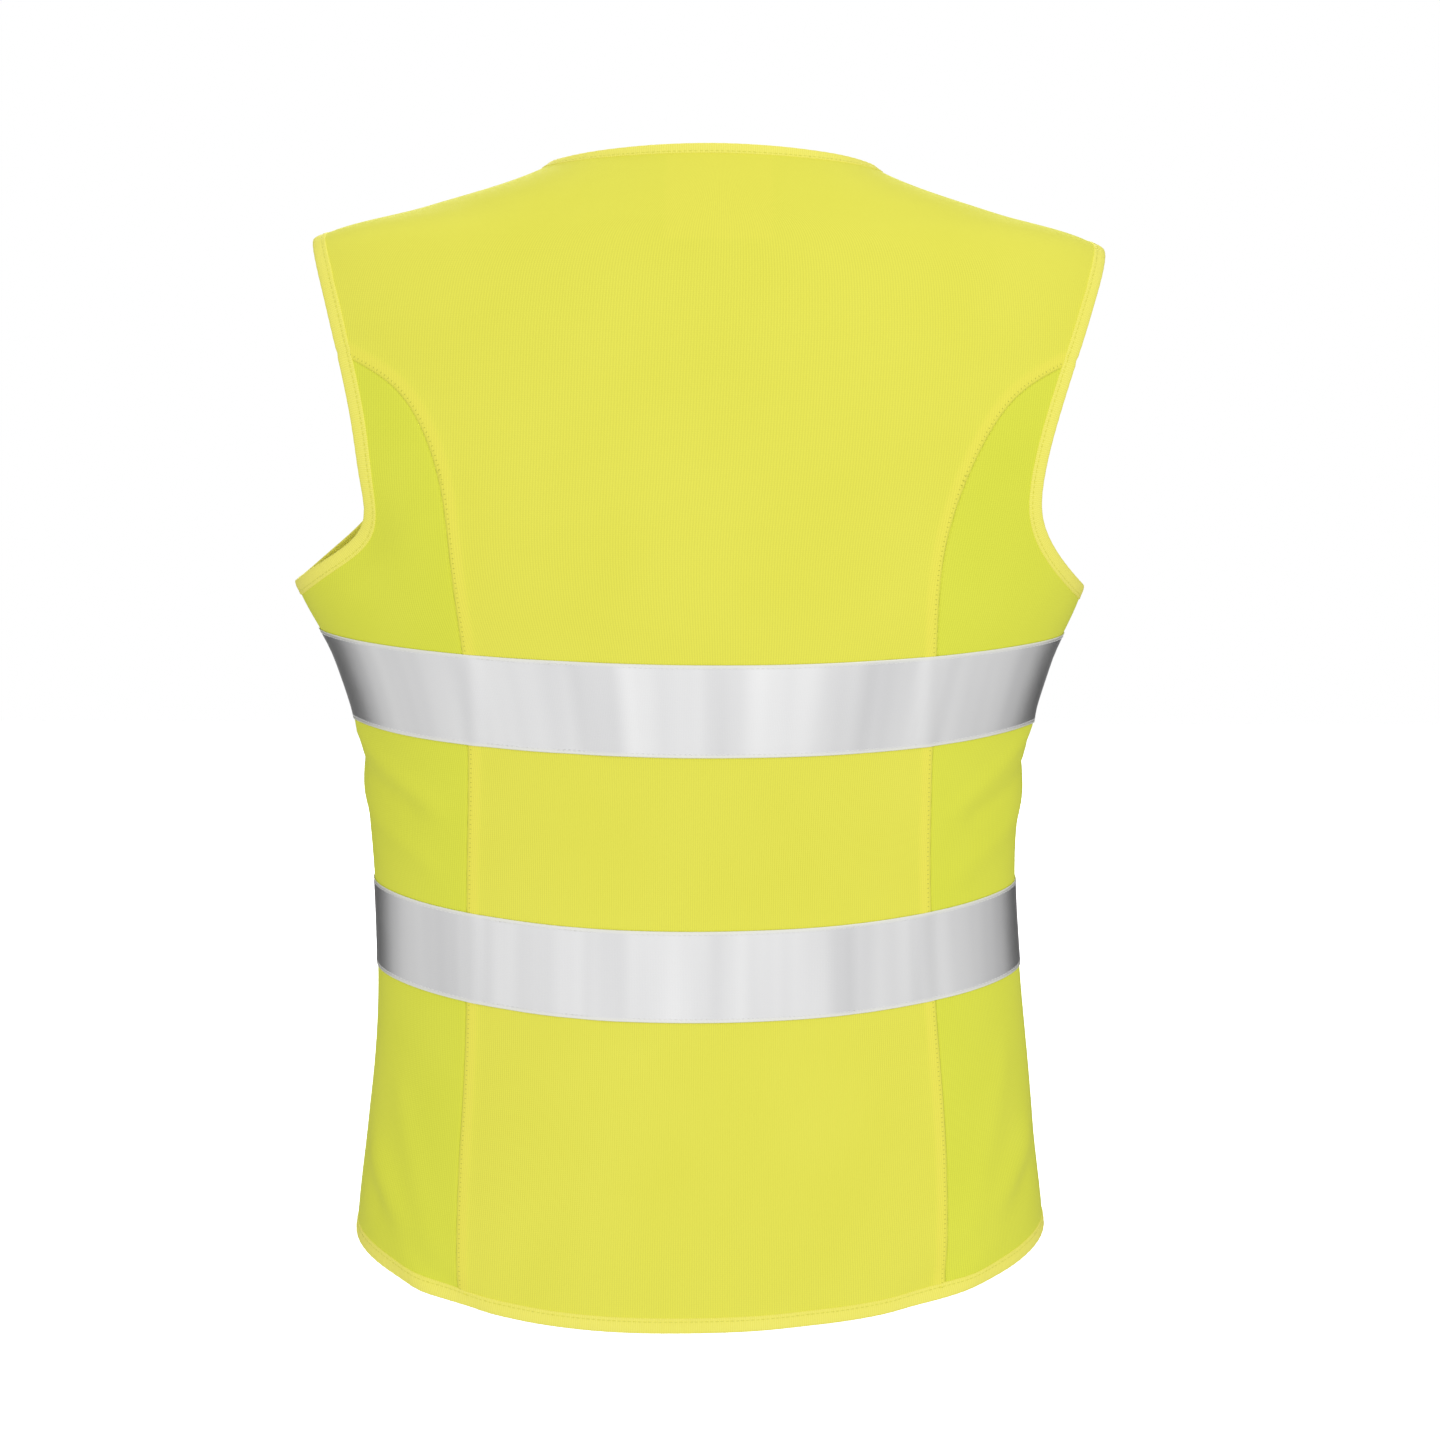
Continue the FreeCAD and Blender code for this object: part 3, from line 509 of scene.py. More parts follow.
# A panel's points: their spacing along a row, the rows' spacing and the least distance from a fixed
# point, both as shares of it, and the spacing along the edges.
LATTICE, ROW_SHARE, CLEAR_SHARE = 5.0, 0.9, 0.55
EDGE_SPACING = 3.0
# What the triangulation keeps, and how close two points are taken for one.
KEEP_INSIDE, SAME_POINT = 1, 1e-4


def cut_panel(outline, rows=()):
    """Triangles that fill an outline of (s, w), with a point on every point of the rows."""
    fixed = np.vstack([outline, *rows]) if rows else outline
    low, high = outline.min(0), outline.max(0)
    s = np.arange(low[0], high[0], LATTICE)
    w = np.arange(low[1], high[1], LATTICE * ROW_SHARE)
    grid = np.stack(np.meshgrid(s, w), -1)
    grid[1::2, :, 0] += LATTICE / 2
    grid = grid.reshape(-1, 2)
    grid = grid[inside_polygon(grid, outline)]
    flat, flat_grid = (np.column_stack([p, np.zeros(len(p))]) for p in (fixed, grid))
    clear = nearest(tree_of(flat), flat_grid) > LATTICE * CLEAR_SHARE
    points = np.vstack([fixed, grid[clear]])
    count = len(outline)
    edges = [(i, (i + 1) % count) for i in range(count)]
    out, _, triangles, *_ = delaunay_2d_cdt(
        [Vector(p) for p in points], edges, [list(range(count))], KEEP_INSIDE, SAME_POINT
    )
    return np.array([tuple(p) for p in out]), [tuple(t) for t in triangles]


def two_sided(top, bottom, triangles):
    """Points and faces of a closed skin between two copies of a triangle net."""
    count = len(top)
    faces = [tuple(t) for t in triangles] + [tuple(i + count for i in reversed(t)) for t in triangles]
    used = {}
    for t in triangles:
        for i in range(len(t)):
            edge = (t[i], t[(i + 1) % len(t)])
            used[edge] = used.get(edge, 0) + 1
    for a, b in used:
        if (b, a) not in used:
            faces.append((b, a, a + count, b + count))
    return np.vstack([top, bottom]), faces


def outward(points, triangles):
    """The triangles turned so that their normals leave the body."""
    base, normal = on_form(points)
    a, b, c = (base[[t[k] for t in triangles]] for k in (0, 1, 2))
    facing = (np.cross(b - a, c - a) * normal[[t[0] for t in triangles]]).sum(1).sum()
    return triangles if facing > 0 else [tuple(reversed(t)) for t in triangles]


def cloth(name, points, triangles, lift, under, material, paint=None):
    """A cloth piece between two lifts over a net of (s, w)."""
    triangles = outward(points, triangles)
    skin, faces = two_sided(at(points, lift), at(points, under), triangles)
    doubled = {key: np.concatenate([v, v]) for key, v in (paint or {}).items()}
    return make_mesh(name, skin, faces, material, np.vstack([points, points]), doubled)


def net(s, w):
    """Points and quads of a net over a grid of s and w."""
    rows, columns = s.shape
    index = np.arange(rows * columns).reshape(rows, columns)
    quads = [
        (index[i, j], index[i, j + 1], index[i + 1, j + 1], index[i + 1, j])
        for i in range(rows - 1)
        for j in range(columns - 1)
    ]
    return np.stack([s, w], -1).reshape(-1, 2), [tuple(int(k) for k in q) for q in quads]


def insets(line, profile, turn, closed):
    """The lines of (s, w) that a section's points follow, from its distances in from an edge."""
    wrapped = np.vstack([line[-2:], line, line[:2]]) if closed else line
    lines = [beside(wrapped, turn * inwards) for inwards, _ in profile]
    return [found[2:-2] if closed else found for found in lines]


# The puckers along a binding: their height and length, and how far and how fast they drift.
PUCKER, PUCKER_LENGTH = 0.1, 6.4
PUCKER_DRIFT, DRIFT_RATE = 0.8, 0.11


def swept(name, lines, profile, material, closed=False):
    """A closed section along lines of (s, w), drawn in a little between its stitches."""
    length = run_length(lines[0])
    drift = PUCKER_DRIFT * np.sin(length * DRIFT_RATE)
    draw = PUCKER * np.sin(length * 2 * math.pi / PUCKER_LENGTH + drift)
    rings = np.stack([at(line, p[1] + draw) for line, p in zip(lines, profile)], 1)
    count, around = rings.shape[:2]
    index = np.arange(count * around).reshape(count, around)
    faces = []
    for i in range(count if closed else count - 1):
        j = (i + 1) % count
        for k in range(around):
            m = (k + 1) % around
            faces.append((int(index[i, k]), int(index[j, k]), int(index[j, m]), int(index[i, m])))
    if not closed:
        faces.append(tuple(int(k) for k in index[0]))
        faces.append(tuple(int(k) for k in index[-1][::-1]))
    inward = np.tile([p[0] for p in profile], (count, 1))
    uv = np.stack([inward, np.repeat(length[:, None], around, 1)], -1).reshape(-1, 2)
    piece = make_mesh(name, rings.reshape(-1, 3), faces, material, uv)
    face_outwards(piece)
    return piece


def face_outwards(piece):
    """Turns a closed mesh's faces outwards."""
    skin = bmesh.new()
    skin.from_mesh(piece.data)
    if skin.calc_volume(signed=True) < 0:
        bmesh.ops.reverse_faces(skin, faces=skin.faces)
    skin.to_mesh(piece.data)
    skin.free()


# ---------------------------------------------------------------- sewing thread

THREAD = 0.24
STITCH_SIDES = 5
# Ordinary stitches: how far apart, and how long.
STITCH_PITCH, STITCH_LENGTH = 2.8, 2.2
# A stitch's thread dives at both ends: shares of the way along it, and how high it stands there.
STITCH_RUN = np.array([0, 0.22, 0.5, 0.78, 1.0])
STITCH_RISE = np.array([-0.45, -0.02, 0.06, -0.02, -0.45])
LADDER_RUN = np.array([0, 0.25, 0.5, 0.75, 1.0])
LADDER_RISE = np.array([-0.4, 0.0, 0.05, 0.0, -0.4])
# The short stitches that hold a seam's allowance down: how far from the seam, how far apart, half
# their length, and their lift.
LADDER_IN, LADDER_PITCH, LADDER_HALF, LADDER_LIFT = 2.0, 2.6, 0.7, 1.0


def stitches_along(line, lift):
    """The rows of (s, w) and the heights of stitches that run along a line."""
    far = run_length(line)
    starts = np.arange(STITCH_PITCH / 2, far[-1] - STITCH_LENGTH, STITCH_PITCH)
    places = starts[:, None] + STITCH_RUN * STITCH_LENGTH
    spots = np.stack([np.interp(places, far, line[:, k]) for k in (0, 1)], -1)
    return spots, lift + STITCH_RISE


def stitches_across(line):
    """The rows of (s, w) and the heights of short stitches that cross a line."""
    line = spaced(line, LADDER_PITCH)
    left, right = beside(line, LADDER_HALF), beside(line, -LADDER_HALF)
    share = LADDER_RUN[:, None]
    return left[:, None] * (1 - share) + right[:, None] * share, LADDER_LIFT + LADDER_RISE


def sewn(name, stitching, material):
    """One piece of thread work from rows of (s, w) with their heights above the form."""
    points, faces = [], []
    total = 0
    for spots, heights in stitching:
        total += add_threads(points, faces, at(spots, heights), on_form(spots)[1], total)
    make_mesh(name, np.vstack(points), faces, material)


def add_threads(points, faces, centre, up, base):
    """Adds a round thread along each row of centres; returns how many points were added."""
    travel = np.gradient(centre, axis=1)
    travel /= np.linalg.norm(travel, axis=2, keepdims=True)
    side = np.cross(up, travel)
    side /= np.linalg.norm(side, axis=2, keepdims=True)
    rise = np.cross(travel, side)
    turn = np.arange(STITCH_SIDES) * 2 * math.pi / STITCH_SIDES
    ring = side[:, :, None] * np.cos(turn)[:, None] + rise[:, :, None] * np.sin(turn)[:, None]
    body = centre[:, :, None] + ring * THREAD
    count, rows = body.shape[:2]
    points.append(body.reshape(-1, 3))
    index = base + np.arange(count * rows * STITCH_SIDES).reshape(count, rows, STITCH_SIDES)
    for k in range(STITCH_SIDES):
        m = (k + 1) % STITCH_SIDES
        quads = np.stack([index[:, :-1, k], index[:, 1:, k], index[:, 1:, m], index[:, :-1, m]], -1)
        faces.extend(map(tuple, quads.reshape(-1, 4).tolist()))
    faces.extend(map(tuple, index[:, 0, ::-1].tolist()))
    faces.extend(map(tuple, index[:, -1].tolist()))
    return count * rows * STITCH_SIDES


# ---------------------------------------------------------------- materials


def linear(red, green, blue):
    """A display colour of 0 to 255 as the shader's colour."""
    values = np.array([red, green, blue]) / 255
    values = np.where(values <= 0.04045, values / 12.92, ((values + 0.055) / 1.055) ** 2.4)
    return (*values.tolist(), 1.0)


class Finish:
    """One procedural material, built node by node."""

    def __init__(self, name, roughness, **shader):
        self.material = bpy.data.materials.new(name)
        self.material.use_nodes = True
        self.tree = self.material.node_tree
        self.shader = self.tree.nodes["Principled BSDF"]
        self.shader.inputs["Roughness"].default_value = roughness
        for key, value in shader.items():
            self.shader.inputs[key.replace("_", " ")].default_value = value

    def add(self, kind, settings=None, **inputs):
        """A new node. Inputs are numbers, or sockets to link; a key like i0 is an input's index."""
        made = self.tree.nodes.new(kind)
        for key, value in (settings or {}).items():
            setattr(made, key, value)
        for key, value in inputs.items():
            index = int(key[1:]) if key[0] == "i" and key[1:].isdigit() else key.replace("_", " ")
            if isinstance(value, bpy.types.NodeSocket):
                self.tree.links.new(value, made.inputs[index])
            else:
                made.inputs[index].default_value = value
        return made

    def maths(self, operation, a, b=0.0):
        return self.add("ShaderNodeMath", {"operation": operation}, i0=a, i1=b).outputs[0]

    def mixed(self, share, a, b):
        node = self.add("ShaderNodeMix", {"data_type": "RGBA"}, i0=share, i6=a, i7=b)
        return node.outputs[2]

    def noise(self, where, scale, detail=2.0, roughness=0.5):
        node = self.add(
            "ShaderNodeTexNoise", Vector=where, Scale=scale, Detail=detail, Roughness=roughness
        )
        return node.outputs["Fac"]

    def bands(self, where, pitch, direction):
        """A smooth ridge every pitch metres."""
        scale = 2 * math.pi / (20 * pitch)
        settings = {"bands_direction": direction, "wave_profile": "SIN"}
        return self.add("ShaderNodeTexWave", settings, Vector=where, Scale=scale).outputs["Fac"]

    def ranged(self, value, low, high):
        """A value of 0 to 1 spread between low and high."""
        return self.add("ShaderNodeMapRange", Value=value, To_Min=low, To_Max=high).outputs[0]

    def painted(self, key):
        return self.add("ShaderNodeAttribute", {"attribute_name": key}).outputs["Fac"]

    def colour(self, socket):
        self.tree.links.new(socket, self.shader.inputs["Base Color"])

    def bump(self, height, strength, depth):
        node = self.add("ShaderNodeBump", Strength=strength, Distance=depth, Height=height)
        self.tree.links.new(node.outputs["Normal"], self.shader.inputs["Normal"])

    def rough(self, socket):
        self.tree.links.new(socket, self.shader.inputs["Roughness"])

    def cloth_place(self):
        return self.add("ShaderNodeUVMap", {"uv_map": "cloth"}).outputs[0]

    def object_place(self):
        return self.add("ShaderNodeTexCoord").outputs["Object"]


WALE_PITCH, COURSE_PITCH = 0.00125, 0.0011
SHEEN_ROUGHNESS = 0.45


def knit(name, colour, shade, seam):
    """Brushed warp knit: fine vertical wales, courses across them, and a paler doubled seam."""
    finish = Finish(
        name, 0.85, Sheen_Weight=0.06, Sheen_Roughness=SHEEN_ROUGHNESS, Specular_IOR_Level=0.15
    )
    cloth_place, space = finish.cloth_place(), finish.object_place()
    wales = finish.bands(cloth_place, WALE_PITCH, "X")
    courses = finish.bands(cloth_place, COURSE_PITCH, "Y")
    loops = finish.maths("MULTIPLY", wales, finish.ranged(courses, 0.55, 1.0))
    fuzz = finish.noise(space, 2600, 3.0, 0.6)
    soft = finish.noise(space, 14, 3.0)
    body = finish.mixed(finish.ranged(soft, 0.1, 0.9), shade, colour)
    body = finish.mixed(finish.painted("doubled"), body, seam)
    # Painted shade: the colour is darkened in the hollows between the loops, where the bump sinks,
    # and varied at random by the fuzz.
    loop_shade = finish.ranged(finish.maths("ADD", loops, finish.ranged(fuzz, -0.3, 0.3)), 0.9, 1.0)
    hollow_shade = finish.add("ShaderNodeCombineColor", Red=loop_shade, Green=loop_shade, Blue=loop_shade)
    final = finish.add(
        "ShaderNodeMix", {"data_type": "RGBA", "blend_type": "MULTIPLY"},
        i0=1.0, i6=body, i7=hollow_shade.outputs[0],
    )
    finish.colour(final.outputs[2])
    height = finish.maths("ADD", loops, finish.maths("MULTIPLY", fuzz, 0.6))
    finish.bump(height, 0.35, 0.00025)
    return finish.material


def ribbed(name, colour, shade, pitch, direction, roughness=0.75, sheen=0.06, strength=0.4):
    """Woven or knitted narrow goods with ribs, shade painted between them, and a little unevenness.
    """
    finish = Finish(
        name, roughness, Sheen_Weight=sheen, Sheen_Roughness=SHEEN_ROUGHNESS,
        Specular_IOR_Level=0.2,
    )
    cloth_place, space = finish.cloth_place(), finish.object_place()
    ribs = finish.bands(cloth_place, pitch, direction)
    fuzz = finish.noise(space, 2400, 2.0)
    slow = finish.noise(space, 30, 2.0)
    # Painted shade: the colour is darker in the hollows between the ribs. The slow noise is random
    # unevenness.
    share = finish.maths("MULTIPLY", finish.ranged(ribs, 0.45, 1.0), finish.ranged(slow, 0.7, 1.1))
    finish.colour(finish.mixed(share, shade, colour))
    finish.bump(finish.maths("ADD", ribs, fuzz), strength, 0.0003)
    return finish.material


def beaded_tape():
    """Silver tape of glass beads on woven cloth: fine grain, faint handling marks, painted reflection
    bands.
    """
    finish = Finish("silver_tape", 0.3, Specular_IOR_Level=0.6)
    cloth_place, space = finish.cloth_place(), finish.object_place()
    beads = finish.noise(space, 5200, 2.0, 0.7)
    weave = finish.maths(
        "MULTIPLY",
        finish.bands(cloth_place, 0.0009, "X"),
        finish.bands(cloth_place, 0.0009, "Y"),
    )
    marks = finish.noise(space, 34, 4.0, 0.65)
    # Painted reflection: soft lighter and darker bands along the tape, where its facets catch the
    # light, with random bead grain on top.
    stretched = finish.add("ShaderNodeMapping", Vector=cloth_place, Scale=(1.0, 0.06, 1.0))
    reflection_bands = finish.noise(stretched.outputs[0], 30, 2.0, 0.4)
    grain_and_reflection = finish.maths("ADD", finish.ranged(reflection_bands, -0.9, 1.7), finish.ranged(beads, -0.12, 0.12))
    cut_edge = finish.painted("cut_edge")
    finish.colour(finish.mixed(cut_edge, finish.mixed(grain_and_reflection, TAPE_DARK, TAPE_LIGHT), TAPE_EDGE))
    metallic = finish.shader.inputs["Metallic"]
    finish.tree.links.new(finish.ranged(cut_edge, TAPE_METALLIC, 0.0), metallic)
    finish.rough(finish.ranged(marks, 0.27, 0.37))
    finish.bump(finish.maths("ADD", beads, finish.maths("MULTIPLY", weave, 0.7)), 0.22, 0.00012)
    return finish.material


def satin(name, colour, shade):
    finish = Finish(name, 0.38, Sheen_Weight=0.1, Sheen_Roughness=SHEEN_ROUGHNESS)
    cloth_place, space = finish.cloth_place(), finish.object_place()
    weave = finish.bands(cloth_place, 0.0006, "Y")
    slub = finish.noise(space, 220, 3.0)
    finish.colour(finish.mixed(finish.ranged(slub, 0.35, 1.0), shade, colour))
    finish.bump(finish.maths("ADD", weave, slub), 0.25, 0.0001)
    return finish.material


def moulded(name, colour, shade, roughness=0.34):
    """Moulded plastic with a faint orange peel and rubbed high spots."""
    finish = Finish(name, roughness, Coat_Weight=0.15, Coat_Roughness=0.3)
    space = finish.object_place()
    peel = finish.noise(space, 1900, 2.0)
    rubbed = finish.noise(space, 260, 3.0)
    finish.colour(finish.mixed(rubbed, shade, colour))
    finish.rough(finish.ranged(rubbed, roughness - 0.08, roughness + 0.12))
    finish.bump(peel, 0.12, 0.0001)
    return finish.material


def worn_metal():
    finish = Finish("slider_metal", 0.3, Metallic=1.0)
    space = finish.object_place()
    scratches = finish.noise(space, 1400, 5.0, 0.7)
    tarnish = finish.noise(space, 190, 3.0)
    finish.colour(finish.mixed(tarnish, METAL_DARK, METAL_LIGHT))
    finish.rough(finish.ranged(scratches, 0.2, 0.46))
    finish.bump(scratches, 0.1, 0.00008)
    return finish.material


def thread_finish(name, colour, shade):
    finish = Finish(name, 0.55, Sheen_Weight=0.3, Sheen_Roughness=SHEEN_ROUGHNESS)
    twist = finish.noise(finish.object_place(), 4200, 1.0)
    finish.colour(finish.mixed(twist, shade, colour))
    finish.bump(twist, 0.3, 0.0001)
    return finish.material


TAPE_METALLIC = 0.85
# The lit and shaded tones of the tape's painted reflection bands. The bead grain also spreads between
# them.
TAPE_LIGHT, TAPE_DARK = linear(243, 243, 243), linear(216, 216, 217)
TAPE_EDGE = linear(236, 236, 222)
METAL_LIGHT, METAL_DARK = linear(196, 198, 200), linear(140, 143, 146)
SEAM_YELLOW = linear(246, 239, 92)

centre_fabric = knit("centre_knit", linear(242, 239, 94), linear(235, 233, 82), SEAM_YELLOW)
side_fabric = knit("side_knit", linear(235, 238, 84), linear(225, 231, 70), SEAM_YELLOW)
binding_cloth = ribbed(
    "binding_knit", linear(250, 243, 118), linear(238, 231, 86), 0.0012, "Y"
)
silver = beaded_tape()
label_satin = satin("label_satin", linear(243, 243, 238), linear(222, 222, 215))
zip_woven = ribbed(
    "zip_weave", linear(232, 232, 74), linear(196, 202, 44), 0.0009, "Y", 0.75, 0.1, 0.6
)
zip_plastic = moulded("zip_plastic_yellow", linear(232, 234, 84), linear(214, 220, 60))
zip_metal = worn_metal()
yellow_thread = thread_finish("yellow_thread", linear(243, 238, 96), linear(214, 212, 60))
# Painted shade: the seam thread is darker than the cloth and stands for the shaded dimples between
# the ladder stitches.
dimple_shade_thread = thread_finish("dimple_shade_thread", linear(206, 203, 60), linear(186, 186, 46))
grey_thread = thread_finish("grey_thread", linear(240, 240, 238), linear(222, 222, 220))

# ---------------------------------------------------------------- sewn pieces

BODY_OF = {LEFT: "left_front", RIGHT: "right_front"}
NAME_OF = {LEFT: "left", RIGHT: "right"}


def on_side(points, side):
    """A line of the left side as it runs on either."""
    return points if side == LEFT else flipped(points)


def front_blend(piece):
    """A front piece keeps its place, with its transform baked into its mesh."""
    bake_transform(piece)


def joined(*parts):
    """One line of (s, w) from lines that meet end to end."""
    return np.vstack([parts[0], *[part[1:] for part in parts[1:]]])


def evened(*parts):
    """One line from lines that meet, evenly spaced along each."""
    return joined(*[spaced(np.asarray(part, float), EDGE_SPACING) for part in parts])


def split_hem(face, seam):
    """The hem on the two sides of a seam: from the middle to it, and from it to the side."""
    line = hem_line(face)
    end = seam[-1]
    inner = np.vstack([line[line[:, 0] * face < end[0] * face], end])
    outer = np.vstack([end, line[line[:, 0] * face > end[0] * face]])
    return inner, outer


def seam_distance(points, seams):
    """How far each point is from the nearest seam line."""
    tree = tree_of(np.vstack([on_form(seam)[0] for seam in seams]))
    return nearest(tree, on_form(points)[0])


CLOTH_TOP, CLOTH_UNDER = 0.75, 0.25
# Beside a seam the cloth dips, and it is doubled along its allowance, which shows through. Each
# pair says how far from the seam that is nothing, and how far it is whole.
SEAM_DIP, DIP_REACH, UNDER_DIP = 0.2, 1.6, 0.5
DOUBLED, DOUBLED_IN, DOUBLED_OUT = 0.35, (0.5, 1.5), (8.4, 6.9)
SHOWN_IN, SHOWN_OUT = (0.2, 1.0), (8.8, 5.2)
# The rows of points beside a seam that carry those shapes, with and without the allowance.
STRIP_ROWS = (1.4, 3.4, 5.4, 6.8, 7.6, 8.4)
SIDE_ROWS = (1.4, 3.0)
# The edge beside the zip is drawn to this far over the neck edge, and kept to this far under it.
ZIP_EDGE_OVER, ZIP_EDGE_GAP = 4, 0.5
# The neck label shows through the cloth by this share of a doubled strip, with an edge this soft.
LABEL_SHOWN, LABEL_BLUR = 0.3, 1


def box_mm(node):
    """The two corners of a CAD node's box."""
    return tuple(np.array(corner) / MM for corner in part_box(node))


def behind_label(points):
    """1 where the neck label lies behind the cloth and doubles it, as seen against the light."""
    spots = on_form(points)[0]
    low, high = box_mm("neck_label")
    within = smoothstep(low[0] - LABEL_BLUR, low[0] + LABEL_BLUR, spots[..., 0])
    within *= smoothstep(high[0] + LABEL_BLUR, high[0] - LABEL_BLUR, spots[..., 0])
    within *= smoothstep(low[2] - LABEL_BLUR, low[2] + LABEL_BLUR, spots[..., 2])
    return within * (points[..., 0] ** 2 < SIDE_SEAM**2)


def panel(name, outline, seams, rows, strip, slot, nodes):
    """A panel of knit, dipped where it is sewn to the next and doubled along its allowance.

    strip is 1 for a panel that carries the allowance of its seams, and 0 for one that doesn't.
    """
    kept = [row[inside_polygon(row, outline)] for row in rows]
    points, triangles = cut_panel(outline, [row for row in kept if len(row)])
    far = seam_distance(points, seams)
    doubled = smoothstep(*DOUBLED_IN, far) * smoothstep(*DOUBLED_OUT, far) * strip
    dip = SEAM_DIP * smoothstep(DIP_REACH, 0.0, far)
    shown = smoothstep(*SHOWN_IN, far) * smoothstep(*SHOWN_OUT, far) * strip
    shown = np.maximum(shown, LABEL_SHOWN * strip * behind_label(points))
    piece = cloth(
        name, points, triangles, CLOTH_TOP + DOUBLED * doubled - dip,
        CLOTH_UNDER - UNDER_DIP * dip, FABRICS[slot], {"doubled": shown},
    )
    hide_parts(*nodes)


def side_line(first, last):
    """The side or shoulder seam, straight down the form between the ends of two lines."""
    return np.array([(SIDE_SEAM, first[1]), (SIDE_SEAM, last[1])])


def zip_edge_line(top, count=200):
    """The front's edge beside the zip, from the hem up to the end of the neck edge."""
    over, gap = FRONT_NECK[-1, 1] + ZIP_EDGE_OVER, top[1] + ZIP_EDGE_GAP
    levels = np.linspace(hem_level(PANEL_EDGE, FRONT), over, count)
    line = place(np.full(count, PANEL_EDGE), levels, FRONT)
    return np.vstack([line[line[:, 1] > gap], top])


FABRICS = {"centre_fabric": centre_fabric, "side_fabric": side_fabric}

back_inner_hem, back_outer_hem = split_hem(BACK, BACK_SEAM)
front_inner_hem, front_outer_hem = split_hem(FRONT, FRONT_SEAM)
back_neck, front_neck = neck_line(BACK), neck_line(FRONT)
back_shoulder = side_line(back_neck[-1], BACK_ARM_UPPER[0])
zip_edge = zip_edge_line(front_neck[0])

back_rows = [spaced(beside(BACK_SEAM, far), EDGE_SPACING) for far in STRIP_ROWS]
half_back = evened(
    back_neck, back_shoulder, BACK_ARM_UPPER, BACK_SEAM, back_inner_hem[::-1]
)
panel(
    "centre_back_cloth",
    np.vstack([half_back, flipped(half_back)[::-1][1:-1]]),
    [BACK_SEAM, flipped(BACK_SEAM)],
    back_rows + [flipped(row) for row in back_rows],
    1.0,
    "centre_fabric",
    ["centre_back_panel"],
)

side_back_outline = evened(
    BACK_ARM_LOWER, side_line(BACK_ARM_LOWER[-1], back_outer_hem[-1]),
    back_outer_hem[::-1], BACK_SEAM[::-1],
)[:-1]
side_front_outline = evened(
    FRONT_ARM_LOWER, side_line(FRONT_ARM_LOWER[-1], front_outer_hem[-1]),
    front_outer_hem[::-1], FRONT_SEAM[::-1],
)[:-1]
front_outline = evened(
    front_neck, side_line(front_neck[-1], FRONT_ARM_UPPER[0]), FRONT_ARM_UPPER,
    FRONT_SEAM, front_inner_hem[::-1], zip_edge,
)[:-1]

# The panels that there are two of: outline, seam, which side of the seam they lie on, the rows
# beside it, whether they carry its allowance, slot, and the CAD nodes they stand for.
PAIRED_PANELS = {
    "side_back": (side_back_outline, BACK_SEAM, -1, SIDE_ROWS, 0.0, "side_fabric",
                  ["side_back_panel"]),
    "side_front": (side_front_outline, FRONT_SEAM, 1, SIDE_ROWS, 0.0, "side_fabric",
                   ["side_front_panel"]),
    "front": (front_outline, FRONT_SEAM, -1, STRIP_ROWS, 1.0, "centre_fabric",
              ["front_panel", "front_panel_outer"]),
}
for side, label in NAME_OF.items():
    for kind, (outline, seam, turn, distances, strip, slot, nodes) in PAIRED_PANELS.items():
        rows = [spaced(beside(seam, turn * far), EDGE_SPACING) for far in distances]
        panel(
            f"{label}_{kind}_cloth", on_side(outline, side), [on_side(seam, side)],
            [on_side(row, side) for row in rows], strip, slot,
            [f"{label}_{node}" for node in nodes],
        )

# ---------------------------------------------------------------- bindings

# The folded strip's section: distance in from the edge, and lift.
BINDING_SECTION = [
    (8.0, 0.7), (7.7, 1.15), (6.9, 1.28), (5.9, 1.06), (4.9, 1.3), (2.6, 1.5), (0.7, 1.42),
    (-0.3, 1.1), (-0.7, 0.5), (-0.3, -0.1), (0.7, -0.42), (2.6, -0.5), (4.9, -0.32),
    (5.9, -0.1), (6.9, -0.28), (7.7, -0.15), (8.0, 0.3),
]
# The neck's binding is folded narrower, by this share.
NECK_SHARE = 0.7
BINDING_STITCH_IN, BINDING_STITCH_LIFT, BINDING_STEP = 5.9, 1.14, 2.0

armhole = evened(
    BACK_ARM_UPPER, BACK_ARM_LOWER, FRONT_ARM_LOWER[::-1], FRONT_ARM_UPPER[::-1]
)[:-1]
back_neck_full = np.vstack([flipped(back_neck)[::-1], back_neck[1:]])
back_hem_full = np.vstack([flipped(hem_line(BACK))[::-1], hem_line(BACK)[1:]])

# Each binding: its CAD node, line, which side of its travel the cloth is on, whether it is closed,
# and its side of the body, if it has one.
BINDINGS = [
    ("neck_binding", back_neck_full, 1, False, None),
    ("hem_binding", back_hem_full, -1, False, None),
]
for side, label in NAME_OF.items():
    BINDINGS += [
        (f"{label}_armhole_binding", armhole, 1, True, side),
        (f"{label}_neck_binding_front", front_neck, -1, False, side),
        (f"{label}_hem_binding_front", hem_line(FRONT), 1, False, side),
    ]

BINDING_STITCHING = {"root": [], LEFT: [], RIGHT: []}
for node, line, turn, closed, side in BINDINGS:
    line = line if closed else spaced(line, BINDING_STEP)
    share = NECK_SHARE if "neck" in node else 1.0
    section = [(inwards * share, lift) for inwards, lift in BINDING_SECTION]
    lines = insets(line, section, turn, closed)
    stitch_line = insets(line, [(BINDING_STITCH_IN * share, 0)], turn, closed)[0]
    if side == RIGHT:
        lines = [flipped(found) for found in lines]
        stitch_line = flipped(stitch_line)
    piece = swept(f"{node}_cloth", lines, section, binding_cloth, closed)
    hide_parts(node)
    owner = side if "front" in node else "root"
    BINDING_STITCHING[owner].append(stitches_along(stitch_line, BINDING_STITCH_LIFT))

# ---------------------------------------------------------------- reflective tapes

TAPE_STEP = 3.0
